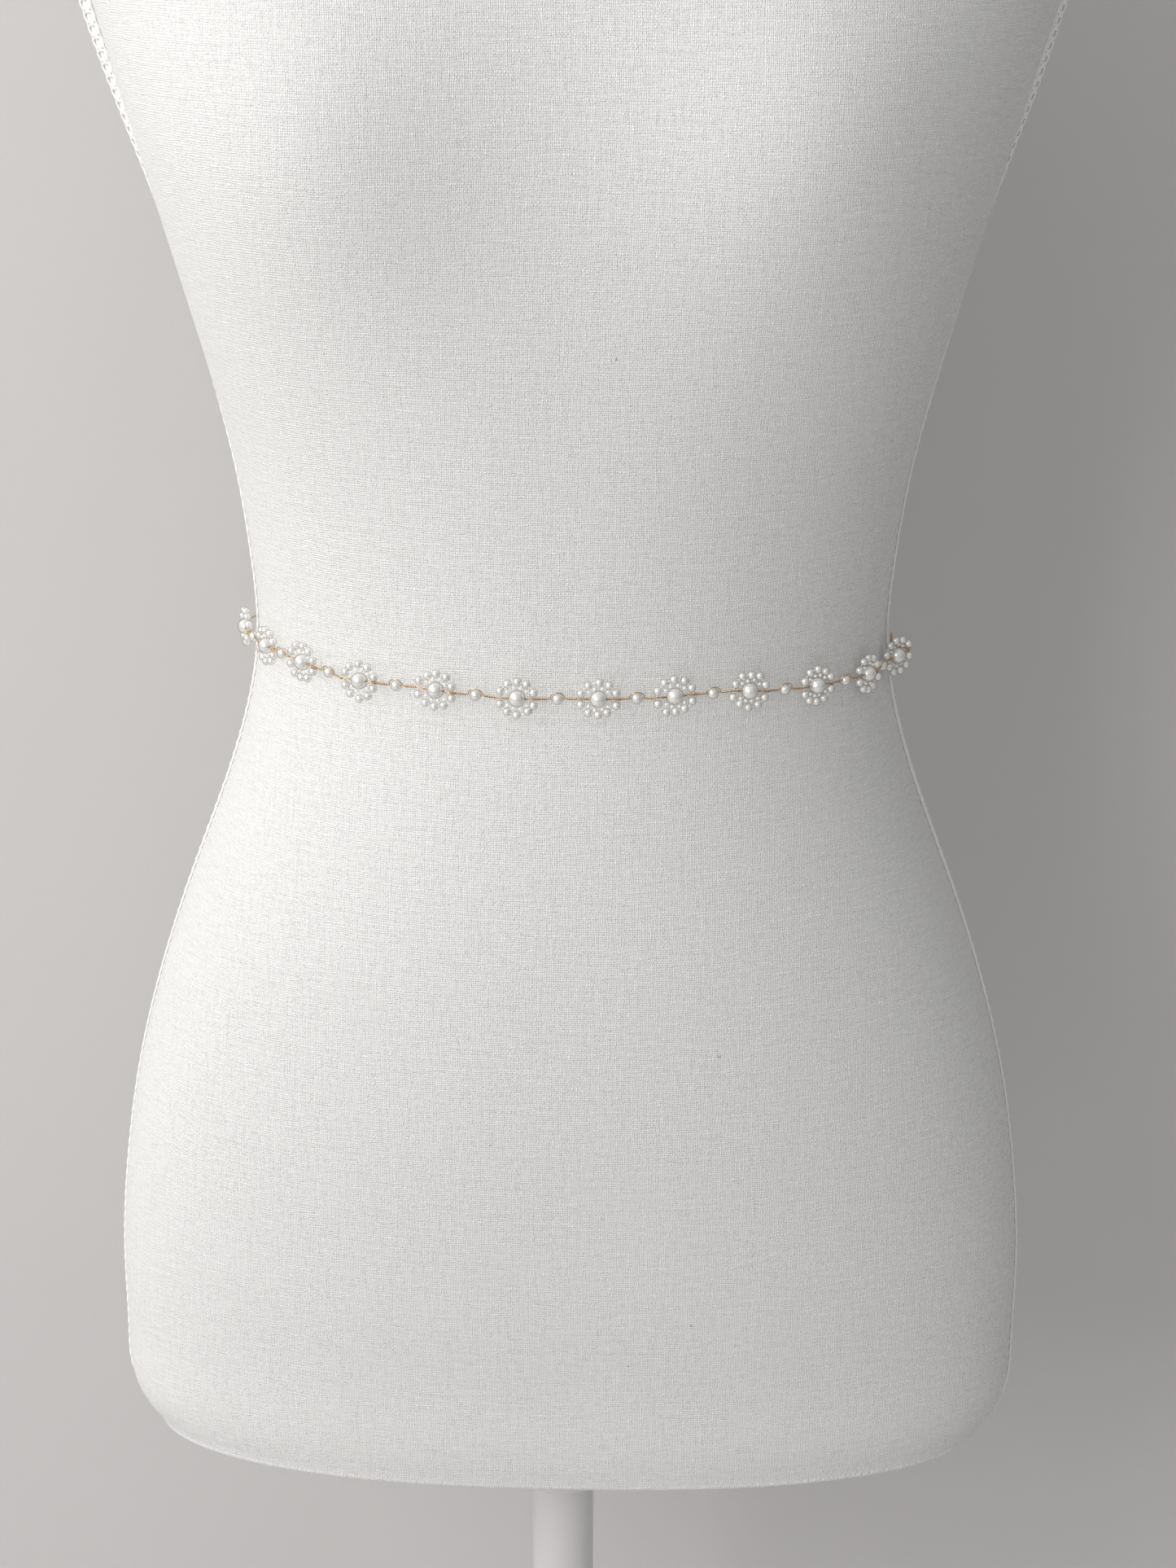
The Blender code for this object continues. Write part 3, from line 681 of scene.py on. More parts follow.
def woven_threads() -> bpy.types.NodeTree:
    """The plain weave, built once: over and under threads with thick and thin stretches.

    A thread's round back is the size of a sine across it. The product of both sines says which
    thread lies over, because its sign changes at each crossing. A noise drawn out along a thread
    makes it thick and thin, a soft noise makes the threads wander, and a number drawn for each
    crossing lets some stand higher than others.

    Returns:
        The group, with Height and Slub over the surface.
    """
    found = bpy.data.node_groups.get("woven_threads")
    if found:
        return found
    weave = Weave()
    sockets = {"Place": "Vector", "Warp Count": "Float", "Weft Count": "Float", "Unevenness": "Float"}
    tree = new_group("woven_threads", sockets, {"Height": "Float", "Slub": "Float"})
    graph = Graph(tree)
    given = graph.node("NodeGroupInput").outputs
    split = graph.node("ShaderNodeSeparateXYZ")
    graph.feed(split.inputs[0], given["Place"])
    counts = [given["Warp Count"], given["Weft Count"]]
    places = [graph.math("MULTIPLY", split.outputs[k], counts[k]) for k in range(2)]
    drifts = [(*pair, 1.0) for pair in (weave.wander, weave.wander[::-1])]
    soft = [graph.noise(graph.stretch(given["Place"], drift), 1.0) for drift in drifts]
    places = [graph.math("MULTIPLY_ADD", soft[k], weave.wander_reach, places[k]) for k in range(2)]
    crossings = graph.node("ShaderNodeCombineXYZ")
    for socket, place in zip(crossings.inputs, places):
        graph.feed(socket, graph.math("FLOOR", place))
    drawn_lot = graph.node("ShaderNodeTexWhiteNoise", noise_dimensions="2D")
    graph.feed(drawn_lot.inputs["Vector"], crossings.outputs[0])
    least, spread = weave.stand
    standing = graph.math("MULTIPLY_ADD", drawn_lot.outputs["Value"], spread, least)
    sines = [graph.math("SINE", graph.math("MULTIPLY", place, math.pi)) for place in places]
    crossing = graph.math("MULTIPLY", *sines)
    backs, slubs = [], []
    for k, sign in enumerate((0.5, -0.5)):
        over = graph.math("MULTIPLY_ADD", crossing, sign, 0.5)
        back = graph.math("MULTIPLY", graph.math("ABSOLUTE", sines[k]), over)
        drawn = graph.node("ShaderNodeCombineXYZ")
        for axis in range(2):
            factor = weave.slub_across if axis == k else weave.slub_along
            graph.feed(drawn.inputs[axis], graph.math("MULTIPLY", places[axis], factor))
        drawn.inputs[2].default_value = weave.slub_apart * k
        slub = graph.noise(drawn.outputs[0], 1.0, 1.0)
        centred = graph.math("SUBTRACT", slub, 0.5)
        swell = graph.math("MULTIPLY_ADD", centred, given["Unevenness"], 1.0)
        backs.append(graph.math("MULTIPLY", back, swell))
        slubs.append(slub)
    result = graph.node("NodeGroupOutput")
    graph.feed(result.inputs["Height"], graph.math("MULTIPLY", graph.math("MAXIMUM", *backs), standing))
    graph.feed(result.inputs["Slub"], graph.math("MULTIPLY", graph.math("ADD", *slubs), 0.5))
    return tree


def uneven_tone() -> bpy.types.NodeTree:
    """Soft clouds of handling and dust, built once: a coarse and a fine noise, mixed.

    Returns:
        The group, with a Tone from 0 to 1 over the surface.
    """
    found = bpy.data.node_groups.get("uneven_tone")
    if found:
        return found
    tree = new_group("uneven_tone", {"Place": "Vector", "Clouds": "Float"}, {"Tone": "Float"})
    graph = Graph(tree)
    given = graph.node("NodeGroupInput").outputs
    coarse = graph.noise(given["Place"], given["Clouds"], 3.0)
    fine = graph.noise(given["Place"], graph.math("MULTIPLY", given["Clouds"], FINE_CLOUDS))
    rest = graph.math("MULTIPLY", coarse, 1 - FINE_SHARE)
    mixed = graph.math("MULTIPLY_ADD", fine, FINE_SHARE, rest)
    result = graph.node("NodeGroupOutput")
    graph.feed(result.inputs["Tone"], mixed)
    return tree


@dataclass(frozen=True)
class Finish:
    """A surface finish: two close colours, its roughness range, its metal share and its relief."""

    name: str
    low: Colour
    high: Colour
    rough: tuple[float, float]
    metallic: float = 0.0
    coat: float = 0.0
    coat_rough: float = 0.05
    sheen: float = 0.0
    clouds: float = 20.0
    relief: float = 0.0
    strength: float = 1.0

    def begin(self) -> tuple[bpy.types.Material, Graph, bpy.types.Node]:
        """A new material with this finish's constants on its shader.

        Returns:
            The material, a graph of its nodes and the shader.
        """
        made = bpy.data.materials.new(self.name)
        made.use_nodes = True
        shader = made.node_tree.nodes["Principled BSDF"]
        shader.inputs["Metallic"].default_value = self.metallic
        shader.inputs["Coat Weight"].default_value = self.coat
        shader.inputs["Coat Roughness"].default_value = self.coat_rough
        shader.inputs["Sheen Weight"].default_value = self.sheen
        shader.inputs["Sheen Roughness"].default_value = 0.5
        return made, Graph(made.node_tree), shader

    def place(self, graph: Graph) -> bpy.types.NodeSocket:
        """The piece's own coordinates."""
        return graph.node("ShaderNodeTexCoord").outputs["Object"]

    def tone(self, graph: Graph) -> bpy.types.NodeSocket:
        """The soft clouds at this finish's size."""
        made = graph.group(uneven_tone(), Place=self.place(graph), Clouds=self.clouds)
        return made.outputs["Tone"]

    def dress(self, graph: Graph, shader: bpy.types.Node, share: bpy.types.NodeSocket) -> None:
        """Gives the shader this finish's colour and roughness, both by one share."""
        graph.feed(shader.inputs["Base Color"], graph.blend(share, self.low, self.high))
        graph.feed(shader.inputs["Roughness"], graph.spread(share, *self.rough))

    def raise_up(self, graph: Graph, shader: bpy.types.Node, height: bpy.types.NodeSocket) -> None:
        """Gives the shader its relief from a height."""
        graph.feed(shader.inputs["Normal"], graph.bump(height, self.strength, self.relief))

    def material(self) -> bpy.types.Material:
        """The material with its colour and roughness from the soft clouds."""
        made, graph, shader = self.begin()
        self.dress(graph, shader, self.tone(graph))
        return made


@dataclass(frozen=True)
class WovenFinish(Finish):
    """Cloth whose threads follow the piece's own flat surface."""

    warp: float = 1800.0
    weft: float = 1800.0
    unevenness: float = 1.4
    # How dark the painted shade in the gaps between threads is, and how much painted highlight the thread
    # tops get.
    gap_shade: float = 0.82
    top_painted_highlight: float = 0.4
    slub_share: float = 0.6

    def material(self) -> bpy.types.Material:
        """The cloth: thread relief, painted shade in the gaps and a painted highlight on the thread tops,
        and lighter thick threads.
        """
        made, graph, shader = self.begin()
        flat = graph.node("ShaderNodeUVMap", uv_map="surface").outputs["UV"]
        threads = graph.group(
            woven_threads(),
            Place=flat,
            Warp_Count=self.warp,
            Weft_Count=self.weft,
            Unevenness=self.unevenness,
        )
        height, slub = threads.outputs["Height"], threads.outputs["Slub"]
        thick = graph.math("MULTIPLY", slub, self.slub_share)
        tone = graph.math("MULTIPLY_ADD", self.tone(graph), 1 - self.slub_share, thick)
        colour = graph.blend(tone, self.low, self.high)
        shade = graph.node("ShaderNodeMix", data_type="RGBA", blend_type="MULTIPLY")
        shade.inputs[0].default_value = 1.0
        graph.feed(shade.inputs[6], colour)
        # Painted shade and highlight: the colour is multiplied by a grey that is darkest in the gaps
        # between threads and brightest on their tops.
        grey = graph.spread(height, self.gap_shade, 1 + (1 - self.gap_shade) * self.top_painted_highlight)
        tint = graph.node("ShaderNodeCombineColor")
        for socket in tint.inputs:
            graph.feed(socket, grey)
        graph.feed(shade.inputs[7], tint.outputs[0])
        graph.feed(shader.inputs["Base Color"], shade.outputs[2])
        graph.feed(shader.inputs["Roughness"], graph.spread(tone, *self.rough))
        self.raise_up(graph, shader, height)
        return made


@dataclass(frozen=True)
class CottonFinish(Finish):
    """Plied cotton yarn: fine slanting plies and loose fibres."""

    relief: float = 0.12 * MM
    strength: float = 0.5
    ply: float = 2600.0
    ply_stretch: Triple = (1.0, 1.0, 0.45)

    def material(self) -> bpy.types.Material:
        """The yarn, with its plies as a fine relief and as painted shade in the hollows between them."""
        made, graph, shader = self.begin()
        tone = self.tone(graph)
        slant = graph.noise(graph.stretch(self.place(graph), self.ply_stretch), self.ply)
        # The ply noise that raises the relief also sets the colour, so the low parts are darker: painted
        # shade between the plies.
        shade = graph.math("MULTIPLY_ADD", slant, 0.5, graph.math("MULTIPLY", tone, 0.5))
        graph.feed(shader.inputs["Base Color"], graph.blend(shade, self.low, self.high))
        graph.feed(shader.inputs["Roughness"], graph.spread(tone, *self.rough))
        self.raise_up(graph, shader, slant)
        return made


@dataclass(frozen=True)
class PearlFinish(Finish):
    """Imitation pearl: cream lacquer with a soft metallic lustre, each bead a little different."""

    relief: float = 0.2 * MM
    strength: float = 0.12
    dents: float = 900.0
    bead_share: float = 0.7
    # The rim colour is painted shade: the body colour darkens to it towards the pearl's outline, standing
    # in for the dark reflections at its edge.
    rim: Colour = (0.22, 0.20, 0.17)
    rim_shade_from: float = 0.34
    rim_shade_full: float = 0.80

    def material(self) -> bpy.types.Material:
        """The lacquer, its colour by bead, with a painted shade at the rim for the dark reflections there,
        and the faint unevenness under it.
        """
        made, graph, shader = self.begin()
        bead = graph.node("ShaderNodeAttribute", attribute_name="tint").outputs["Fac"]
        tone = graph.math("MULTIPLY", self.tone(graph), 1 - self.bead_share)
        share = graph.math("MULTIPLY_ADD", bead, self.bead_share, tone)
        # Painted shade at the rim: the more the surface turns away from the view, the nearer the colour
        # comes to the rim colour.
        facing = graph.node("ShaderNodeLayerWeight").outputs["Facing"]
        rim = graph.ramp(facing, self.rim_shade_from, self.rim_shade_full)
        body = graph.blend(share, self.low, self.high)
        graph.feed(shader.inputs["Base Color"], graph.blend(rim, body, self.rim))
        graph.feed(shader.inputs["Roughness"], graph.spread(share, *self.rough))
        self.raise_up(graph, shader, graph.noise(self.place(graph), self.dents, 1.0))
        return made


@dataclass(frozen=True)
class GlassFinish(Finish):
    """Clear glass seed beads with a milky lining."""

    transmission: float = 0.12
    bending: float = 1.5

    def material(self) -> bpy.types.Material:
        """The glass, mostly milky, with its own light tint."""
        made, graph, shader = self.begin()
        shader.inputs["Transmission Weight"].default_value = self.transmission
        shader.inputs["IOR"].default_value = self.bending
        self.dress(graph, shader, self.tone(graph))
        return made


@dataclass(frozen=True)
class WireFinish(Finish):
    """Soft jewellery wire, scuffed a little, with painted shade and highlights spread over it by the scuff
    noise.
    """

    relief: float = 0.05 * MM
    strength: float = 0.15
    scuffs_and_painted_light: float = 1600.0

    def material(self) -> bpy.types.Material:
        """The wire, scuffed where it was bent; the scuff noise also spreads its colour from painted shade
        to painted highlight.
        """
        made, graph, shader = self.begin()
        # This noise gives the scuffed relief and roughness, and also the painted shade and highlights in
        # the colour.
        scuffs_and_painted_light = graph.noise(self.place(graph), self.scuffs_and_painted_light, 3.0)
        self.dress(graph, shader, scuffs_and_painted_light)
        self.raise_up(graph, shader, scuffs_and_painted_light)
        return made


@dataclass(frozen=True)
class EnamelFinish(Finish):
    """Sprayed gloss enamel with a faint ripple."""

    relief: float = 0.3 * MM
    strength: float = 0.06
    ripple: float = 420.0

    def material(self) -> bpy.types.Material:
        """The enamel, with the spray's ripple as relief."""
        made, graph, shader = self.begin()
        self.dress(graph, shader, self.tone(graph))
        self.raise_up(graph, shader, graph.noise(self.place(graph), self.ripple, 1.0))
        return made


LINEN = WovenFinish(
    "white_linen",
    (0.85, 0.85, 0.84),
    (0.97, 0.97, 0.96),
    (0.82, 0.95),
    clouds=9.0,
    warp=1530.0,
    weft=1200.0,
    unevenness=1.8,
    relief=0.3 * MM,
    strength=1.0,
    gap_shade=0.8,
)
BRAID = CottonFinish("white_cotton_braid", (0.88, 0.88, 0.86), (0.96, 0.96, 0.94), (0.7, 0.85))
PEARL = PearlFinish(
    "cream_pearl", (0.82, 0.81, 0.77), (0.96, 0.95, 0.92), (0.17, 0.25), 0.6, coat=1.0, coat_rough=0.04
)
SEED = GlassFinish(
    "milky_seed_bead", (0.92, 0.92, 0.90), (0.98, 0.98, 0.96), (0.10, 0.20), coat=0.5, clouds=200.0
)
# The low colour is painted shade and the high colour a painted highlight of the twisted wire, spread at
# random by the scuff noise.
GOLD = WireFinish("rose_gold_wire", (0.36, 0.22, 0.12), (0.90, 0.68, 0.45), (0.16, 0.30), 1.0)
SATIN = WovenFinish(
    "ivory_satin",
    (0.86, 0.84, 0.76),
    (0.93, 0.91, 0.85),
    (0.28, 0.40),
    sheen=0.2,
    clouds=60.0,
    warp=6000.0,
    weft=2400.0,
    unevenness=0.5,
    relief=0.03 * MM,
    strength=0.35,
    gap_shade=0.94,
)
# The white enamel's colours are set to a light grey: painted shade that stands for the shade the torso
# casts on the pole.
ENAMEL = EnamelFinish(
    "white_gloss_enamel", (0.67, 0.65, 0.66), (0.72, 0.70, 0.71), (0.14, 0.24), coat=0.5, clouds=15.0
)
PAINT = Finish("pale_grey_paint", (0.595, 0.585, 0.58), (0.62, 0.61, 0.605), (0.88, 0.95), clouds=2.0)
LINT = Finish("grey_lint", (0.16, 0.17, 0.20), (0.30, 0.30, 0.33), (0.8, 0.95), clouds=3000.0)


@dataclass
class LinenCover:
    """The torso in its tight linen cover: a front and a back panel, and a flat bottom."""

    form: FormShape
    rows: int = 220
    columns: int = 150
    edge: float = 2.6 * MM
    edge_rows: int = 7
    disc_rows: int = 12

    def heights(self) -> Array:
        """The levels of the sides, from over the rounded bottom edge to the top."""
        return np.linspace(self.form.bottom + self.edge, self.form.top, self.rows)

    def panel(self, which: Panel, heights: Array) -> tuple[Array, Array]:
        """One panel between the side seams.

        Its columns are at even angles from seam to seam. On the flat cloth, a point lies as far
        from the panel's middle as it does along its own row, and as high as the middle column is
        long up to there, so the threads run level and upright as they were cut.

        Args:
            which: the front or the back panel.
            heights: the rows' heights over the waist.

        Returns:
            The points and their places on the flat cloth.
        """
        right = self.form.seam_angle(Side.RIGHT, heights)
        left = self.form.seam_angle(Side.LEFT, heights)
        if which is Panel.BACK:
            right, left = left, right - 2 * math.pi
        share = np.linspace(0, 1, self.columns)
        angles = left[:, None] + (right - left)[:, None] * share
        grid = self.form.point(heights[:, None], angles)
        steps = np.linalg.norm(np.diff(grid, axis=1), axis=2)
        along = np.concatenate([np.zeros((len(grid), 1)), np.cumsum(steps, axis=1)], axis=1)
        middle = self.columns // 2
        along = along - along[:, middle : middle + 1]
        up = np.broadcast_to(lengths_along(grid[:, middle])[:, None], along.shape)
        return grid, np.stack([along, up], axis=-1)

    def rounded(self, rim: Array) -> Array:
        """Rows from the middle of the flat bottom out and up round the edge to the sides' rim.

        Args:
            rim: the lowest row of a panel, as (columns, 3).

        Returns:
            The rows, as (rows, columns, 3). Each edge row is the rim moved in by the edge radius
            times one less the cosine, and down by the radius times the sine.
        """
        plan = unit(rim[:, :2])
        turns = np.linspace(math.pi / 2, 0, self.edge_rows + 1)[:-1, None, None]
        inward = self.edge * (1 - np.cos(turns)) * plan
        edge_xy = rim[None, :, :2] - inward
        edge_z = np.broadcast_to(rim[None, :, 2:] - self.edge * np.sin(turns), (*edge_xy.shape[:2], 1))
        edge = np.concatenate([edge_xy, edge_z], axis=-1)
        share = np.linspace(0, 1, self.disc_rows)[:-1, None, None]
        disc = np.concatenate(
            [edge[:1, :, :2] * share, np.broadcast_to(edge[:1, :, 2:], (len(share), len(rim), 1))], axis=-1
        )
        return np.concatenate([disc, edge])

    def build(self) -> bpy.types.Object:
        """Makes the cover and seats it in place of the torso's solid."""
        shell = Shell()
        heights = self.heights()
        for which in Panel:
            grid, flat = self.panel(which, heights)
            under = np.concatenate([self.rounded(grid[0]), grid[:1]])
            shell.add(grid, flat)
            shell.add(under, under[..., :2])
            lid = np.stack([grid[-1], grid[-1] * [0.5, 0.5, 1], grid[-1] * [0.0, 0.0, 1]])
            shell.add(lid, lid[..., :2])
        piece = seat(shell.piece("linen_cover", LINEN.material(), 55), "cover", "form_torso")
        return piece


@dataclass
class SeamBraid:
    """The flat braid over one side seam: two edge cords, a chain of knots and slanting bars, on a
    thin tape.

    Its rear edge stands off the form by what its row of the seam table says, so it lies on a
    slanting plane from its front edge to its rear one.
    """

    form: FormShape
    side: Side
    pitch: float = 4.5 * MM
    edge_apart: float = 6.9 * MM
    edge_cord: float = 0.8 * MM
    cord_steps: int = 8
    cord_wave: float = 0.22 * MM
    cord_swell: float = 0.14
    bar: Triple = (3.6 * MM, 0.85 * MM, 1.0 * MM)
    bar_slant: float = 0.45
    bar_shift: float = 0.14
    bar_aside: float = 1.9 * MM
    knot: Triple = (2.1 * MM, 2.9 * MM, 1.35 * MM)
    start: float = 1 * MM
    lift: float = 0.45 * MM
    tape_under: float = 0.32 * MM
    tape_thick: float = 0.15 * MM

    def line(self, step: float) -> tuple[Array, Array, Array, Array]:
        """Evenly spaced points up the seam, and the three directions of the braid there.

        Args:
            step: the spacing along the braid.

        Returns:
            The points, and unit vectors across, along and out.
        """
        lowest, highest = self.form.bottom + self.start, self.form.top - self.form.braid_end
        heights = np.linspace(lowest, highest, 3000)
        path = self.form.point(heights, self.form.seam_angle(self.side, heights))
        lengths = lengths_along(path)
        at = np.arange(step / 2, lengths[-1], step)
        heights = np.interp(at, lengths, heights)
        angles = self.form.seam_angle(self.side, heights)
        aside = self.side.value * self.edge_apart / 2 / (self.form.size("half_width", heights) * MM)
        stand = self.form.braid_stand(self.side, heights)
        rear = self.form.over(heights, angles + aside, self.lift + stand)
        front = self.form.over(heights, angles - aside, self.lift)
        points = (rear + front) / 2
        along = unit(np.gradient(points, axis=0))
        across = unit((rear - front) * self.side.value)
        return points, across, along, unit(np.cross(across, along))

    def loops(
        self,
        size: Triple,
        rows: int,
        sides: int,
        shift: float = 0.0,
        aside: float = 0.0,
        slant: float = 0.0,
    ) -> Array:
        """One yarn loop for each stitch: a ball drawn out to a size, set along the braid.

        Args:
            size: across, along and out of the braid.
            rows: latitude rows of a loop.
            sides: points round it.
            shift: how far along the stitch it sits, as a share of the pitch.
            aside: how far from the braid's middle it sits.
            slant: how far it turns from across the braid to along it, in radians.

        Returns:
            The grids, as (stitches, rows, sides, 3).
        """
        points, across, along, out = self.line(self.pitch)
        shape = ball(rows, sides) * np.array(size) / 2
        turned_across = across * math.cos(slant) + along * math.sin(slant)
        turned_along = along * math.cos(slant) - across * math.sin(slant)
        axes = np.stack([turned_across, turned_along, out], axis=1)
        centres = points + along * (shift * self.pitch) + across * aside
        return centres[:, None, None] + np.einsum("rsk,nkj->nrsj", shape, axes)

    def cord(self, which: int) -> Array:
        """One edge cord, which swells a little at each stitch."""
        points, across, _, out = self.line(self.pitch / self.cord_steps)
        wave = np.cos(np.arange(len(points)) * 2 * math.pi / self.cord_steps)
        aside = which * (self.edge_apart / 2 + self.cord_wave * wave)
        path = points + across * aside[:, None]
        return tube(path, self.edge_cord / 2 * (1 + self.cord_swell * wave), out, 7)

    def tape(self) -> Array:
        """The tape under the loops, as a flat closed strip from edge cord to edge cord."""
        points, across, _, out = self.line(self.pitch)
        places = np.array([-1.0, -0.5, 0.0, 0.5, 1.0]) * self.edge_apart / 2
        face = points[:, None] + across[:, None] * places[:, None] - out[:, None] * self.tape_under
        under = face[:, ::-1] - out[:, None] * self.tape_thick
        return with_ends(np.concatenate([face, under], axis=1))

    def build(self, finish: bpy.types.Material) -> bpy.types.Object:
        """Makes the braid and seats it in place of its solid."""
        shell = Shell()
        shell.add(self.tape(), round_columns=True)
        shell.add(self.loops(self.knot, 7, 8), round_columns=True)
        for which in (-1, 1):
            aside = which * self.bar_aside
            for way in (-1, 1):
                slant = which * way * self.bar_slant
                bars = self.loops(self.bar, 6, 6, self.bar_shift * way, aside, slant)
                shell.add(bars, round_columns=True)
            shell.add(self.cord(which), round_columns=True)
        name = self.side.name.lower()
        return seat(shell.piece("seam_braid_" + name, finish), "braid", "braid_" + name)


@dataclass
class PearlBelt:
    """The row of pearl flowers and link pearls on two gold wires."""

    form: FormShape
    gap: float = 0.3 * MM
    centre_pearl: float = 6.0 * MM
    ring_pearl: float = 3.0 * MM
    ring_pearls: int = 10
    ring_half: tuple[float, float] = (6.4 * MM, 5.8 * MM)
    wire_gap: float = 4.7 * MM
    link_start: float = 7.2 * MM
    link_pearl: float = 4.0 * MM
    link_lift: float = 2.7 * MM
    bead_size: tuple[float, float] = (1.0 * MM, 1.2 * MM)
    bead_half: tuple[float, float] = (4.3 * MM, 3.85 * MM)
    hole: float = 0.9 * MM
    wire: float = 0.4 * MM
    twist: float = 1.7 * MM
    slow_twist: float = 6.8 * MM
    strand_off: float = 0.52
    loop: float = 2.6 * MM
    loop_fade: float = 0.9 * MM
    loop_lean: tuple[float, float] = (0.9, 0.45)
    wrap: tuple[float, float] = (5.3 * MM, 7.6 * MM)
    wrap_turns: int = 4
    wrap_steps: int = 14
    wrap_radius: tuple[float, float] = (0.95, 0.25)
    wrap_wire: float = 0.9
    eye_reach: float = 19.5 * MM
    eye_radius: float = 2.6 * MM
    eye_lift: float = 2.25 * MM
    eye_wander: tuple[float, float] = (0.12 * MM, 0.2 * MM)
    pearl_jitter: Triple = (0.2 * MM, 0.2 * MM, 0.14 * MM)
    bead_jitter: float = 0.12 * MM
    bead_hole: float = 0.5 * MM
    thread: float = 0.34 * MM
    seed: int = 21

    def frames(self) -> tuple[Array, Array]:
        """Where each flower sits: its middle, and its axes along the belt, up and out.

        Returns:
            The middles, as (12, 3), and the axes as rows, as (12, 3, 3).
        """
        along, rise = column(FLOWERS, "along") * MM, column(FLOWERS, "rise") * MM
        lift = self.gap + self.centre_pearl / 2 + column(FLOWERS, "extra_lift") * MM
        angle = self.form.angle_along(along)
        middles, out = self.form.over(rise, angle, lift), self.form.outward(rise, angle)
        reach = 6 * MM
        right = self.form.belt_line(along + reach, lift)[0] - self.form.belt_line(along - reach, lift)[0]
        right = unit(right - out * np.sum(right * out, axis=1, keepdims=True))
        up = np.cross(out, right)
        lean = np.radians(column(FLOWERS, "lean"))[:, None]
        leant_right = np.cos(lean) * right - np.sin(lean) * out
        face = np.cos(lean) * out + np.sin(lean) * right
        turn = np.radians(column(FLOWERS, "turn"))[:, None]
        turned_right = np.cos(turn) * leant_right + np.sin(turn) * up
        turned_up = np.cos(turn) * up - np.sin(turn) * leant_right
        return middles, np.stack([turned_right, turned_up, face], axis=1)

    def oval_line(self, half: tuple[float, float]) -> Array:
        """A fine closed line round an oval, flat in the flower's own plane."""
        turns = np.linspace(0, 2 * math.pi, 721)
        return np.column_stack([half[0] * np.cos(turns), half[1] * np.sin(turns), np.zeros(len(turns))])

    def oval(self, half: tuple[float, float], shares: Array) -> tuple[Array, Array]:
        """Even places round an oval, and the direction along it there.

        Args:
            half: the oval's half length and half height.
            shares: places as shares of its whole length, from its right end.

        Returns:
            Points and unit directions, both flat in the flower's own plane.
        """
        path = self.oval_line(half)
        total = lengths_along(path)[-1]
        points = read_path(path, shares * total)
        return points, unit(read_path(path, shares * total + 0.05 * MM) - points)

    def ring_shares(self) -> Array:
        """Where the ring's pearls sit, as shares of its length: in two even rows, one over and one
        under the wire, with a gap between the rows at each end for the wire."""
        gap = self.wire_gap / lengths_along(self.oval_line(self.ring_half))[-1] / 2
        row = np.linspace(gap, 0.5 - gap, self.ring_pearls // 2)
        return np.concatenate([row, row + 0.5])

    def into_place(self, flower: int, grids: Array) -> Array:
        """Points from a flower's own plane to the frame."""
        middles, axes = self.frames()
        return middles[flower] + grids @ axes[flower]

    def set_beads(self, template: Array, centres: Array, along: Array) -> Array:
        """A bead at each centre, its hole along a direction in the flower's plane."""
        out = np.broadcast_to([0.0, 0.0, 1.0], along.shape)
        axes = np.stack([along, np.cross(out, along), out], axis=1)
        return centres[:, None, None] + np.einsum("rsk,nkj->nrsj", template, axes)

    def build_flower(self, flower: int, draw: np.random.Generator, finish: bpy.types.Material) -> None:
        """Makes one flower's pearls, each a hair off its place as hand work leaves it."""
        centres, along = self.oval(self.ring_half, self.ring_shares())
        centres = centres + draw.normal(0, 1, centres.shape) * self.pearl_jitter
        ring = self.set_beads(drilled_ball(self.ring_pearl, self.hole, 11, 14), centres, along)
        middle = drilled_ball(self.centre_pearl, self.hole, 17, 24)
        shell = Shell()
        shell.add(self.into_place(flower, ring), tint=draw.random(self.ring_pearls), round_columns=True)
        shell.add(self.into_place(flower, middle), tint=0.6, round_columns=True)
        number = f"{flower + 1:02d}"
        let_light_past(seat(shell.piece("pearl_flower_" + number, finish), "pearl", "flower_" + number))

    def link_line(self, before: int, steps: int) -> tuple[Array, Array]:
        """The line of the wire from one flower to the next.

        It keeps a set lift over the form, and runs from one flower's edge to the next one's.

        Args:
            before: the flower on the left.
            steps: points on the line.

        Returns:
            The points and the directions out of the form.
        """
        places = column(FLOWERS, "along") * MM
        shares = np.linspace(0, 1, steps)
        first, last = places[before] + self.link_start, places[before + 1] - self.link_start
        near, ups = self.form.belt_line(first + (last - first) * shares, self.link_lift)
        start = self.into_place(before, np.array([self.link_start, 0, 0]))
        end = self.into_place(before + 1, np.array([-self.link_start, 0, 0]))
        return drawn_in(near, start, end, shares), ups

    def build_link(self, before: int, finish: bpy.types.Material) -> None:
        """Makes the pearl between two flowers."""
        half = 20
        path, ups = self.link_line(before, 2 * half + 1)
        along, out = unit(path[half + 1] - path[half - 1]), ups[half]
        up = unit(np.cross(out, along))
        template = drilled_ball(self.link_pearl, self.hole, 13, 18)
        axes = np.stack([along, up, np.cross(along, up)])
        shell = Shell()
        shell.add(path[half] + template @ axes, tint=0.5, round_columns=True)
        number = f"{before + 1:02d}"
        let_light_past(seat(shell.piece("link_pearl_" + number, finish), "pearl", "link_" + number))

    def pair(self, path: Array, ups: Array, phase: Array, spread: float) -> tuple[Array, Array]:
        """Two strands round a line: each lies the spread off it, at opposite phases.

        Args:
            path: the line.
            ups: directions out of the form.
            phase: the first strand's turn about the line.
            spread: how far each strand lies off the line, as a share of the wire's thickness.

        Returns:
            Both strands' middle lines.
        """
        up, out = beside(path, ups)
        side = (np.cos(phase)[:, None] * up + np.sin(phase)[:, None] * out) * spread * self.wire
        return path + side, path - side

    def add_strands(self, shell: Shell, strands: tuple[Array, Array], ups: Array) -> None:
        """Adds two strands as round wires."""
        for strand in strands:
            shell.add(tube(strand, self.wire / 2, ups, 7), round_columns=True)

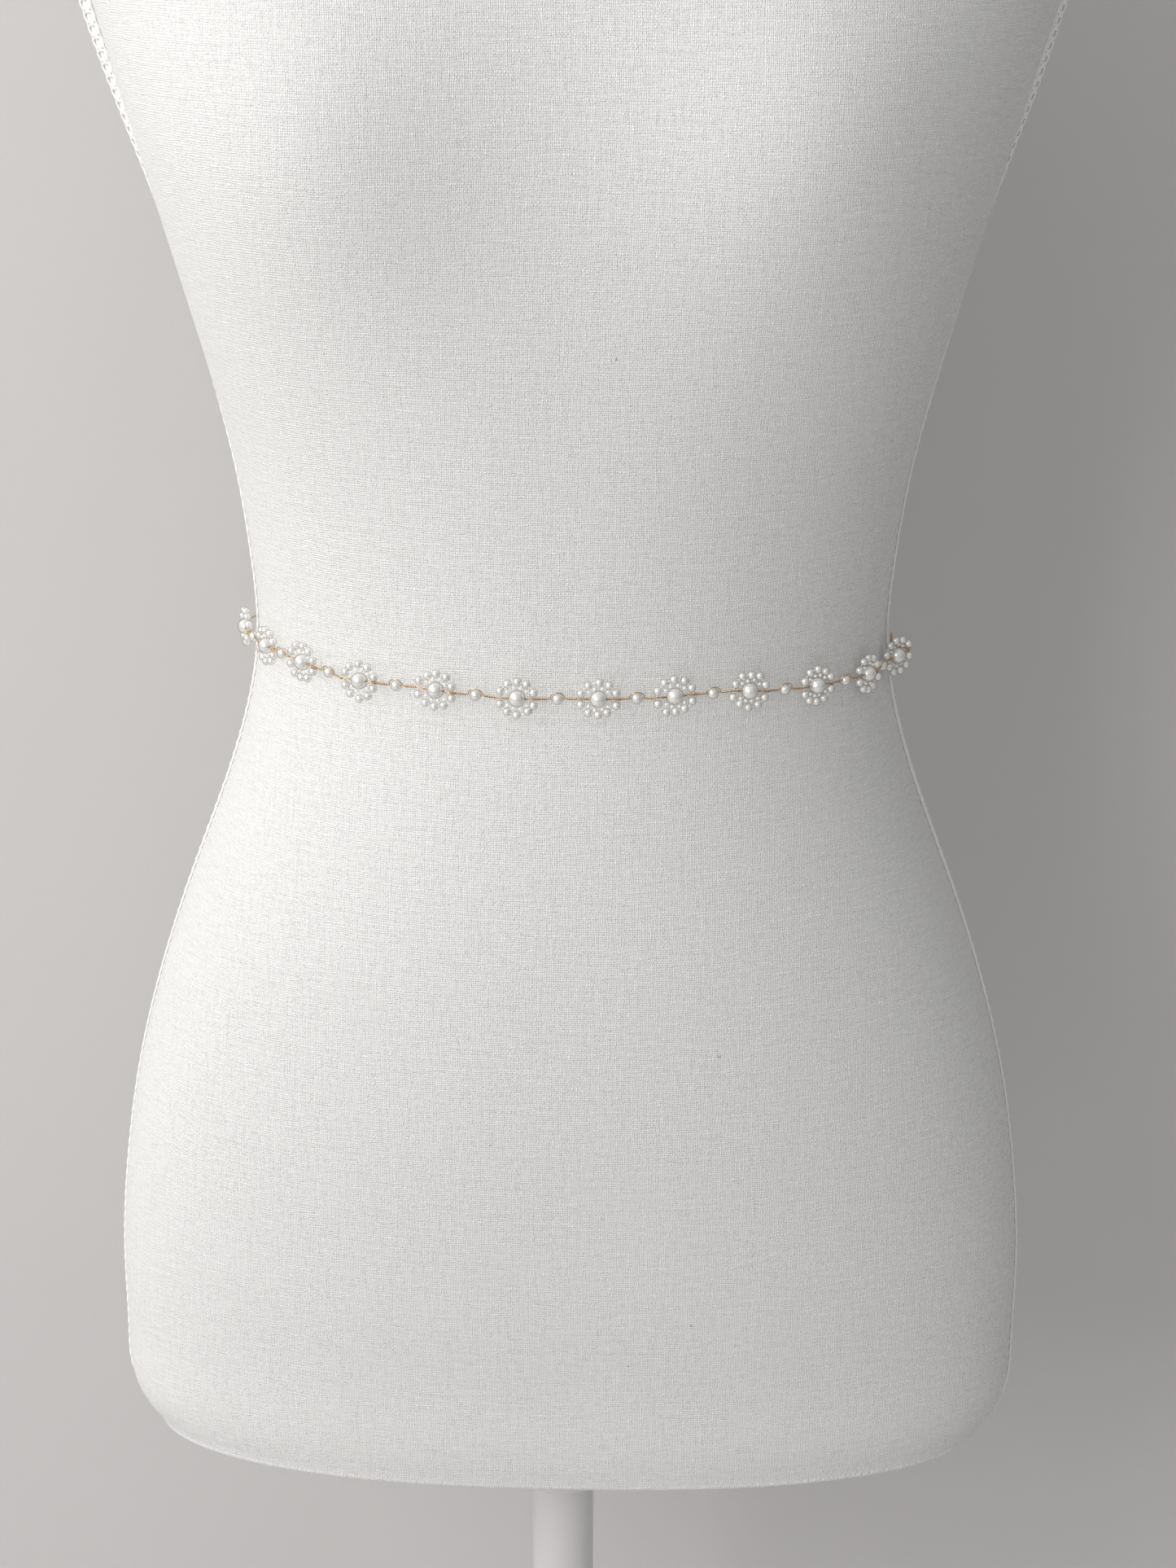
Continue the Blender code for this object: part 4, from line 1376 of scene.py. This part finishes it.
    def add_link_wires(self, shell: Shell, before: int) -> None:
        """Adds the twisted pair between two flowers, one strand looped round the link pearl.

        Args:
            shell: the wire so far.
            before: the flower on the left.
        """
        path, ups = self.link_line(before, 330)
        lengths = lengths_along(path)
        off = lengths - lengths[-1] / 2
        twisted = self.pair(path, ups, 2 * math.pi * off / self.twist, 0.5)
        near = smooth_step((self.loop + self.loop_fade - np.abs(off)) / self.loop_fade)[:, None]
        up, _ = beside(path, ups)
        lean = up * self.loop_lean[0] + ups * self.loop_lean[1]
        bulge = self.loop * np.sqrt(np.clip(1 - (off / self.loop) ** 2, 0, 1))
        looped = path + unit(lean) * (bulge + self.wire / 4)[:, None]
        first = twisted[0] * (1 - near) + path * near
        second = twisted[1] * (1 - near) + looped * near
        self.add_strands(shell, (first, second), ups)

    def add_flower_wires(self, shell: Shell, flower: int) -> None:
        """Adds the two strands across a flower, and a few turns round them at its right edge."""
        reach = np.linspace(-self.link_start, self.link_start, 40)
        line = self.into_place(flower, reach[:, None] * [1.0, 0.0, 0.0])
        _, axes = self.frames()
        ups = np.broadcast_to(axes[flower, 2], line.shape)
        strands = self.pair(line, ups, 2 * math.pi * reach / self.slow_twist, self.strand_off)
        self.add_strands(shell, strands, ups)
        turns = np.linspace(0, 2 * math.pi * self.wrap_turns, self.wrap_steps * self.wrap_turns)
        along = self.wrap[0] + (self.wrap[1] - self.wrap[0]) * turns / turns[-1]
        radius = self.wire * (self.wrap_radius[0] + self.wrap_radius[1] * np.sin(turns / 3 + flower))
        wrap = np.stack([along, radius * np.cos(turns), radius * np.sin(turns)], axis=-1)
        ups = np.broadcast_to(axes[flower, 0], wrap.shape)
        skin = tube(self.into_place(flower, wrap), self.wire / 2 * self.wrap_wire, ups, 6)
        shell.add(skin, round_columns=True)

    def eye(self, side: Side) -> tuple[float, Array, Array, Array]:
        """The wire eye at one end: its place along, its middle, the way up and the way out."""
        places = column(FLOWERS, "along") * MM
        along = places[0 if side is Side.LEFT else -1] + side.value * self.eye_reach
        middle, out = self.form.belt_line(along, self.eye_lift)
        right = unit(np.cross([0.0, 0.0, 1.0], out))
        return along, middle, np.cross(out, right), out

    def add_end(self, shell: Shell, side: Side) -> None:
        """Adds the twisted pair from the last flower to its eye, and the eye."""
        along, middle, up, out = self.eye(side)
        right = np.cross(up, out)
        flower = 0 if side is Side.LEFT else len(FLOWERS) - 1
        start = self.into_place(flower, np.array([side.value * self.link_start, 0, 0]))
        end = middle - side.value * right * self.eye_radius
        shares = np.linspace(0, 1, 90)
        edge = column(FLOWERS, "along")[flower] * MM + side.value * self.link_start
        place = edge + (along - side.value * self.eye_radius - edge) * shares
        near, ups = self.form.belt_line(place, self.eye_lift)
        path = drawn_in(near, start, end, shares)
        phase = 2 * math.pi * lengths_along(path) / self.twist
        self.add_strands(shell, self.pair(path, ups, phase, 0.5), ups)
        turns = np.linspace(0, 4 * math.pi, 97)
        radius = self.eye_radius + self.eye_wander[0] * np.sin(turns / 2)
        ring = middle + radius[:, None] * (np.cos(turns)[:, None] * right + np.sin(turns)[:, None] * up)
        ring = ring + out * (self.eye_wander[1] * np.cos(turns / 2))[:, None]
        shell.add(tube(ring, self.wire / 2, np.broadcast_to(out, ring.shape), 7), round_columns=True)

    def build(self) -> None:
        """Makes the pearls, the seed beads and all the wire."""
        draw = np.random.default_rng(self.seed)
        pearl = PEARL.material()
        beads, wires = Shell(), Shell()
        template = drilled_ball(self.bead_size[1], self.bead_hole, 6, 8)
        template = template * [self.bead_size[0] / self.bead_size[1], 1, 1]
        ring = self.ring_shares().reshape(2, -1)
        shares = ((ring[:, 1:] + ring[:, :-1]) / 2).ravel()
        thread = np.arange(80) / 80
        for flower in range(len(FLOWERS)):
            self.build_flower(flower, draw, pearl)
            centres, along = self.oval(self.bead_half, shares)
            centres = centres + draw.normal(0, self.bead_jitter, centres.shape)
            beads.add(self.into_place(flower, self.set_beads(template, centres, along)), round_columns=True)
            path, _ = self.oval(self.ring_half, thread)
            ups = np.broadcast_to(self.frames()[1][flower, 2], path.shape)
            skin = tube(self.into_place(flower, path), self.thread / 2, ups, 5, capped=False)
            beads.add(skin, round_columns=True, round_rows=True)
            self.add_flower_wires(wires, flower)
        for before in range(len(FLOWERS) - 1):
            self.build_link(before, pearl)
            self.add_link_wires(wires, before)
        for side in Side:
            self.add_end(wires, side)
        let_light_past(seat(beads.piece("seed_beads", SEED.material()), "pearl"))
        seat(wires.piece("twisted_wire", GOLD.material()), "gold_wire", "end_wire_left", "end_wire_right")


def squared(value: Array, power: float) -> Array:
    """A sine or cosine as a superellipse has it: its size to a power, its sign kept."""
    return np.sign(value) * np.abs(value) ** power


@dataclass
class RibbonTie:
    """The satin ribbon: two bands round the back, a knot and two tails."""

    form: FormShape
    belt: PearlBelt
    width: float = 10 * MM
    thick: float = 0.35 * MM
    lift: float = 0.95 * MM
    overlap: float = 3.0 * MM
    gather: float = 6.0 * MM
    gather_length: float = 26 * MM
    pleat: float = 1.5 * MM
    tuck: float = 1.5 * MM
    cup: float = 0.12 * MM
    band_wave: float = 0.18 * MM
    knot: Triple = (15 * MM, 7.5 * MM, 12.5 * MM)
    knot_off: float = 0.55 * MM
    knot_squareness: float = 2.6
    knot_swell: float = 0.06
    wrap_half: float = 2.9 * MM
    wrap_widened: float = 0.7 * MM
    wrap_ridge: float = 0.28 * MM
    wrap_off: tuple[float, float] = (0.45 * MM, 0.35 * MM)
    wrap_shift: float = 1.1 * MM
    tail_drop: tuple[float, float] = (168 * MM, 182 * MM)
    tail_splay: float = 0.13
    tail_slant: float = 7 * MM
    tail_under: float = 1.0 * MM
    tail_narrowed: float = 4.2 * MM
    tail_gather: float = 34 * MM
    tail_pleat: float = 1.3 * MM
    tail_apart: float = 3.2 * MM
    tail_swing: float = 1.6 * MM
    tail_curl: float = 0.9 * MM
    tail_twist: float = 0.5 * MM

    def folds(self, across: Array, share: Array, depth: float) -> Array:
        """How far the gathered ribbon stands up: three pleats, deeper where it is drawn in."""
        return depth * share * (0.5 + 0.5 * np.cos(3 * math.pi * across))

    def cloth(
        self, name: str, node: str, grid: Array, flat: Array, finish: bpy.types.Material
    ) -> bpy.types.Object:
        """Makes and seats one length of ribbon, its thickness half to each side."""
        shell = Shell()
        shell.add(grid, flat)
        piece = shell.piece(name, finish)
        solid = piece.modifiers.new("cloth", "SOLIDIFY")
        solid.thickness = self.thick
        solid.offset = 0
        return seat(piece, "ribbon", node)

    def build_band(self, side: Side, finish: bpy.types.Material) -> bpy.types.Object:
        """Makes the ribbon from one eye to the knot."""
        start, _, _, _ = self.belt.eye(side)
        first = start - side.value * self.overlap
        last = side.value * (self.form.girth() / 2 - self.knot[0] / 2 + self.tuck)
        along = np.linspace(first, last, 150)[:, None]
        across = np.linspace(-1, 1, 25)[None, :]
        drawn = 1 - smooth_step(np.abs(last - along) / self.gather_length)
        half = (self.width + (self.gather - self.width) * drawn) / 2
        height = self.form.belt_rise(along) + across * half
        lift = self.lift + self.folds(across, drawn, self.pleat) + self.cup * across**2
        lift = lift + self.band_wave * np.sin(along * 95 + across) * (1 - drawn) ** 2
        angle = np.broadcast_to(self.form.angle_along(along), height.shape)
        grid = self.form.over(height, angle, lift)
        flat = np.stack(np.broadcast_arrays(across * self.width / 2, along - first), axis=-1)
        name = side.name.lower()
        piece = self.cloth("satin_ribbon_" + name, "ribbon_" + name, grid, flat, finish)
        return piece

    def build_tail(self, side: Side, drop: float, finish: bpy.types.Material) -> bpy.types.Object:
        """Makes one hanging end, wavy and cut on a slant."""
        down = np.linspace(0, 1, 120)[:, None]
        across = np.linspace(-1, 1, 21)[None, :]
        drawn = 1 - smooth_step(down * drop / self.tail_gather)
        half = (self.width - self.tail_narrowed * drawn) / 2
        top = -self.knot[2] / 2 + self.tail_under
        slant = side.value * across * self.tail_slant / 2 * smooth_step((down - 0.6) / 0.4)
        height = top - down * (drop + self.tail_under) + slant
        swing = self.tail_swing * np.sin(down * 9 + 1.3 * side.value) * down
        apart = self.tail_apart + self.tail_splay * down * drop + swing
        centre = self.form.point(top - down * drop, np.full(down.shape, BACK))
        radius = np.linalg.norm(centre[..., :2], axis=-1)
        angle = BACK - (side.value * apart + across * half) / radius
        lift = self.lift + self.folds(across, drawn, self.tail_pleat)
        lift = lift + self.tail_curl * (1 - np.cos(down * 15 + side.value)) * smooth_step(down * 2)
        lift = lift + self.tail_twist * down * (1 + across * np.sin(down * 11 + 2 * side.value))
        grid = self.form.over(height, angle, lift)
        flat = np.stack(np.broadcast_arrays(across * self.width / 2, down * drop), axis=-1)
        name = side.name.lower()
        piece = self.cloth("satin_tail_" + name, "ribbon_tail_" + name, grid, flat, finish)
        return piece

    def build_knot(self, finish: bpy.types.Material) -> bpy.types.Object:
        """Makes the knot: a squarish lump of slanting folds with one turn of ribbon over it.

        The lump is a superellipsoid whose reach swells by a cosine of a slanting count round it.
        The turn over it is a band that follows the lump from under its top edge to its lower one.
        """
        middle = self.form.over(0.0, BACK, self.knot_off + self.knot[1] / 2)
        power = 2 / self.knot_squareness
        tilt = np.linspace(-math.pi / 2, math.pi / 2, 33)[:, None]
        turn = np.linspace(-math.pi, math.pi, 49)[None, :]
        swell = 1 - self.knot_swell + self.knot_swell * np.cos(5 * turn + 5 * tilt)
        level = squared(np.cos(tilt), power)
        x = self.knot[0] / 2 * level * squared(np.cos(turn), power) * swell
        y = self.knot[1] / 2 * squared(np.sin(tilt), power) * swell
        z = self.knot[2] / 2 * level * squared(np.sin(turn), power) * swell
        flat = np.stack(np.broadcast_arrays(turn * 3 * MM, tilt * 5 * MM), axis=-1)
        shell = Shell()
        shell.add(middle + np.stack([x, y, z], axis=-1), flat)
        over = np.linspace(-0.62, 0.62, 40)[:, None] * math.pi
        across = np.linspace(-1, 1, 15)[None, :]
        half = self.wrap_half + self.wrap_widened * np.sin(over) ** 2
        ridge = self.wrap_ridge * np.cos(3 * math.pi * across)
        x = across * half + self.wrap_shift * np.sin(over)
        y = (self.knot[1] / 2 + self.wrap_off[0] + ridge) * squared(np.cos(over), power)
        z = (self.knot[2] / 2 + self.wrap_off[1] + ridge) * squared(np.sin(over), power)
        band = np.stack([x, y, z], axis=-1)
        inner = band[:, ::-1] * [1.0, 0.9, 0.9]
        shell.add(with_ends(middle + np.concatenate([band, inner], axis=1)), round_columns=True)
        return seat(shell.piece("satin_knot", finish), "ribbon", "ribbon_knot")

    def build(self) -> None:
        """Makes the knot first, since the tails hang from it."""
        finish = SATIN.material()
        self.build_knot(finish)
        for side, drop in zip(Side, self.tail_drop):
            self.build_band(side, finish)
            self.build_tail(side, drop, finish)


@dataclass
class Stand:
    """The turned white metal of the stand and the cap on the neck."""

    form: FormShape
    axis: float = -2.0 * MM
    base_radius: float = 150 * MM
    base_rim: float = 9 * MM
    base_crown: float = 15 * MM
    collar_radius: float = 22 * MM
    collar_top: float = 37 * MM
    pole_radius: float = 12.2 * MM
    gap: float = 0.3 * MM
    socket_radius: float = 18 * MM
    socket_length: float = 24 * MM
    plate_radius: float = 45 * MM
    plate: float = 4 * MM
    cap_radius: float = 57 * MM
    cap_height: float = 14 * MM
    sides: int = 128

    def make(self, name: str, profile: Array, shift: float, node: str, finish: bpy.types.Material) -> None:
        """Turns one profile, closed on the axis at both ends, and seats it."""
        closed = np.vstack([[0.0, profile[0, 1]], profile, [0.0, profile[-1, 1]]])
        shell = Shell()
        shell.add(turned(closed, self.sides) + [shift, 0, 0], round_columns=True)
        seat(shell.piece(name, finish, 40), "white_metal", node)

    def build(self) -> None:
        """Makes the base with its collar, the pole, its socket and the neck cap."""
        finish = ENAMEL.material()
        bevel = 2 * MM
        rim, crown, collar = self.base_radius, self.base_crown, self.collar_radius
        slope = np.linspace(0, 1, 24)[:, None]
        dome = np.hstack(
            [
                rim - bevel + (collar + 2 * bevel - rim + bevel) * slope,
                self.base_rim + (crown - self.base_rim) * np.sin(slope * math.pi / 2),
            ]
        )
        base = np.vstack(
            [
                arc((rim - bevel, bevel), bevel, -90, 0, 6),
                arc((rim - bevel, self.base_rim - bevel), bevel, 0, 90, 6),
                dome[1:],
                arc((collar + 2 * bevel, crown + 2 * bevel), 2 * bevel, -90, -180, 7)[1:],
                arc((collar - bevel, self.collar_top - bevel), bevel, 0, 90, 6),
            ]
        )
        self.make("stand_base", base, self.axis, "base", finish)
        plate_top = WAIST_HEIGHT + self.form.bottom - self.gap
        plate_low = plate_top - self.plate
        socket_low = plate_low - self.socket_length
        pole_ends = [self.collar_top + self.gap, socket_low - self.gap]
        pole = np.column_stack([[self.pole_radius] * 2, pole_ends])
        self.make("stand_pole", pole, self.axis, "pole", finish)
        socket = np.vstack(
            [
                arc((self.socket_radius - bevel, socket_low + bevel), bevel, -90, 0, 6),
                arc((self.socket_radius + bevel, plate_low - bevel), bevel, 180, 90, 6),
                arc((self.plate_radius - bevel / 2, plate_low + bevel / 2), bevel / 2, -90, 0, 5),
                [[self.plate_radius, plate_top]],
            ]
        )
        self.make("stand_socket", socket, self.axis, "pole_socket", finish)
        cap_low = WAIST_HEIGHT + self.form.top + self.gap
        bend = self.cap_height / 2
        cap = arc((self.cap_radius - bend, cap_low + bend), bend, -90, 90, 19)
        self.make("neck_lid", cap, 0.0, "neck_cap", finish)


@dataclass
class Lint:
    """A few dark fibres of lint that lie on the linen, as handling leaves them.

    Each spot is a place across the form and over the waist in millimetres, and a turn in degrees.
    A fibre's half length and its bow are in millimetres too.
    """

    form: FormShape
    half_length: float = 0.55
    bow: float = 0.18
    lift: float = 0.14 * MM
    radius: float = 0.11 * MM
    spots: tuple[Triple, ...] = (
        (54.0, -262.0, 20.0),
        (92.0, -244.0, -50.0),
        (22.0, 118.0, 75.0),
        (-48.0, -168.0, 10.0),
        (84.0, -133.0, -20.0),
    )

    def build(self) -> bpy.types.Object:
        """Makes the fibres, each a short arc on the cloth."""
        shell = Shell()
        share = np.linspace(-1, 1, 9)
        for across, height, turn in self.spots:
            direction = np.radians(turn)
            x = across + self.half_length * share * np.cos(direction)
            z = height + self.half_length * share * np.sin(direction) + self.bow * share**2
            half_width = self.form.size("half_width", height * MM)
            angles = FRONT + np.arcsin(x / half_width)
            path, ups = self.form.over(z * MM, angles, self.lift), self.form.outward(z * MM, angles)
            shell.add(tube(path, self.radius, ups, 5), round_columns=True)
        return seat(shell.piece("lint_fibres", LINT.material()), "cover")


class SoftLight(NamedTuple):
    """A square area light: its name, its place, its side in metres, its watts and its colour."""

    name: str
    place: Triple
    size: float
    power: float
    colour: Colour


@dataclass
class Studio:
    """The plain floor and wall, the soft light from the left, and the camera.

    The camera's turns are in degrees: how far it heads to the left, how far it looks down and how
    far it rolls. Its focal length is in millimetres, on a film 36 mm wide.
    """

    wall: float = 0.21
    bend: float = 0.05
    half_width: float = 4.0
    height: float = 3.2
    floor_front: float = -5.0
    sky_from: Triple = (-0.62, -0.42, 0.66)
    sky_grey: tuple[float, float] = (0.1, 1.0)
    sky_tint: Colour = (0.985, 0.985, 1.0)
    sky_strength: float = 0.68
    aim: Triple = (0.0, 0.0, 0.7)
    lamps: tuple[SoftLight, ...] = (
        SoftLight("front_left", (-1.2, -1.7, 1.3), 1.2, 17.8, (1.0, 0.985, 0.965)),
        SoftLight("high_left", (-1.6, -0.6, 2.0), 1.3, 20.6, (1.0, 0.985, 0.96)),
    )
    focal_length: float = 74.77
    camera_place: Triple = (0.0312, -1.1526, 0.958)
    heading: float = 1.25
    look_down: float = 17.81
    roll: float = 0.38

    def backdrop(self) -> None:
        """Makes the floor and wall as one swept sheet that is only seen from its front."""
        turns = np.linspace(-math.pi / 2, 0, 12)
        bend_y = self.wall - self.bend * (1 - np.cos(turns))
        bend = np.column_stack([bend_y, self.bend * (1 + np.sin(turns))])
        profile = np.vstack([[self.floor_front, 0.0], bend, [self.wall, self.height]])
        x = np.linspace(-self.half_width, self.half_width, 9)
        grid = np.stack(np.broadcast_arrays(x[None, :], profile[:, :1], profile[:, 1:]), axis=-1)
        mesh = bpy.data.meshes.new("backdrop")
        rows, columns = grid.shape[:2]
        i, j = np.meshgrid(np.arange(rows - 1), np.arange(columns - 1), indexing="ij")
        start = i * columns + j
        faces = np.stack([start, start + 1, start + columns + 1, start + columns], axis=-1).reshape(-1, 4)
        mesh.from_pydata(grid.reshape(-1, 3) - [0, 0, 0.02 * MM], [], faces)
        mesh.shade_smooth()
        mesh.materials.append(self.wall_paint())
        backdrop = bpy.data.objects.new("backdrop", mesh)
        bpy.context.scene.collection.objects.link(backdrop)

    def wall_paint(self) -> bpy.types.Material:
        """Matt grey paint whose back lets light and sight through."""
        made, graph, shader = PAINT.begin()
        PAINT.dress(graph, shader, PAINT.tone(graph))
        clear = graph.node("ShaderNodeBsdfTransparent")
        choose = graph.node("ShaderNodeMixShader")
        graph.feed(choose.inputs[0], graph.node("ShaderNodeNewGeometry").outputs["Backfacing"])
        graph.feed(choose.inputs[1], shader.outputs[0])
        graph.feed(choose.inputs[2], clear.outputs[0])
        output = next(n for n in made.node_tree.nodes if n.type == "OUTPUT_MATERIAL")
        graph.feed(output.inputs["Surface"], choose.outputs[0])
        return made

    def hang(self, lamp: SoftLight) -> None:
        """Adds one soft light, facing the form."""
        light = bpy.data.lights.new(lamp.name, "AREA")
        light.shape = "SQUARE"
        light.size = lamp.size
        light.energy = lamp.power
        light.color = lamp.colour
        made = bpy.data.objects.new(lamp.name, light)
        made.location = lamp.place
        towards = Vector(self.aim) - Vector(lamp.place)
        made.rotation_euler = towards.to_track_quat("-Z", "Y").to_euler()
        bpy.context.scene.collection.objects.link(made)

    def lights(self) -> None:
        """Sets two soft lights on the left, one to the front and one high up, and the room's light."""
        for lamp in self.lamps:
            self.hang(lamp)
        world = bpy.data.worlds.new("studio")
        world.use_nodes = True
        graph, sky = Graph(world.node_tree), world.node_tree.nodes["Background"]
        facing = graph.node("ShaderNodeVectorMath", operation="DOT_PRODUCT")
        graph.feed(facing.inputs[0], graph.node("ShaderNodeTexCoord").outputs["Generated"])
        facing.inputs[1].default_value = self.sky_from
        share = graph.math("MULTIPLY_ADD", facing.outputs["Value"], 0.5, 0.5)
        grey = graph.spread(share, *self.sky_grey)
        tint = graph.node("ShaderNodeCombineColor")
        for socket, part in zip(tint.inputs, self.sky_tint):
            graph.feed(socket, graph.math("MULTIPLY", grey, part))
        graph.feed(sky.inputs["Color"], tint.outputs[0])
        sky.inputs["Strength"].default_value = self.sky_strength
        bpy.context.scene.world = world
        bpy.context.scene.view_settings.view_transform = "Standard"

    def camera(self) -> None:
        """Sets the camera where the photo was taken from."""
        lens = bpy.data.cameras.new("photo_camera")
        lens.sensor_width = 36.0
        lens.lens = self.focal_length
        lens.clip_start = 0.05
        camera = bpy.data.objects.new("photo_camera", lens)
        heading = Matrix.Rotation(math.radians(self.heading), 4, "Z")
        tilt = Matrix.Rotation(math.radians(90 - self.look_down), 4, "X")
        roll = Matrix.Rotation(math.radians(self.roll), 4, "Z")
        camera.matrix_world = Matrix.Translation(self.camera_place) @ heading @ tilt @ roll
        bpy.context.scene.collection.objects.link(camera)
        bpy.context.scene.camera = camera

    def build(self) -> None:
        """Makes the backdrop, the lights and the camera."""
        self.backdrop()
        self.lights()
        self.camera()


def main() -> None:
    """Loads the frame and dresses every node."""
    logging.basicConfig(level=logging.INFO, format="%(name)s %(message)s")
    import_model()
    form = FormShape()
    LinenCover(form).build()
    braid = BRAID.material()
    for side in Side:
        SeamBraid(form, side).build(braid)
    belt = PearlBelt(form)
    belt.build()
    RibbonTie(form, belt).build()
    Stand(form).build()
    Lint(form).build()
    Studio().build()


if __name__ == "__main__":
    main()
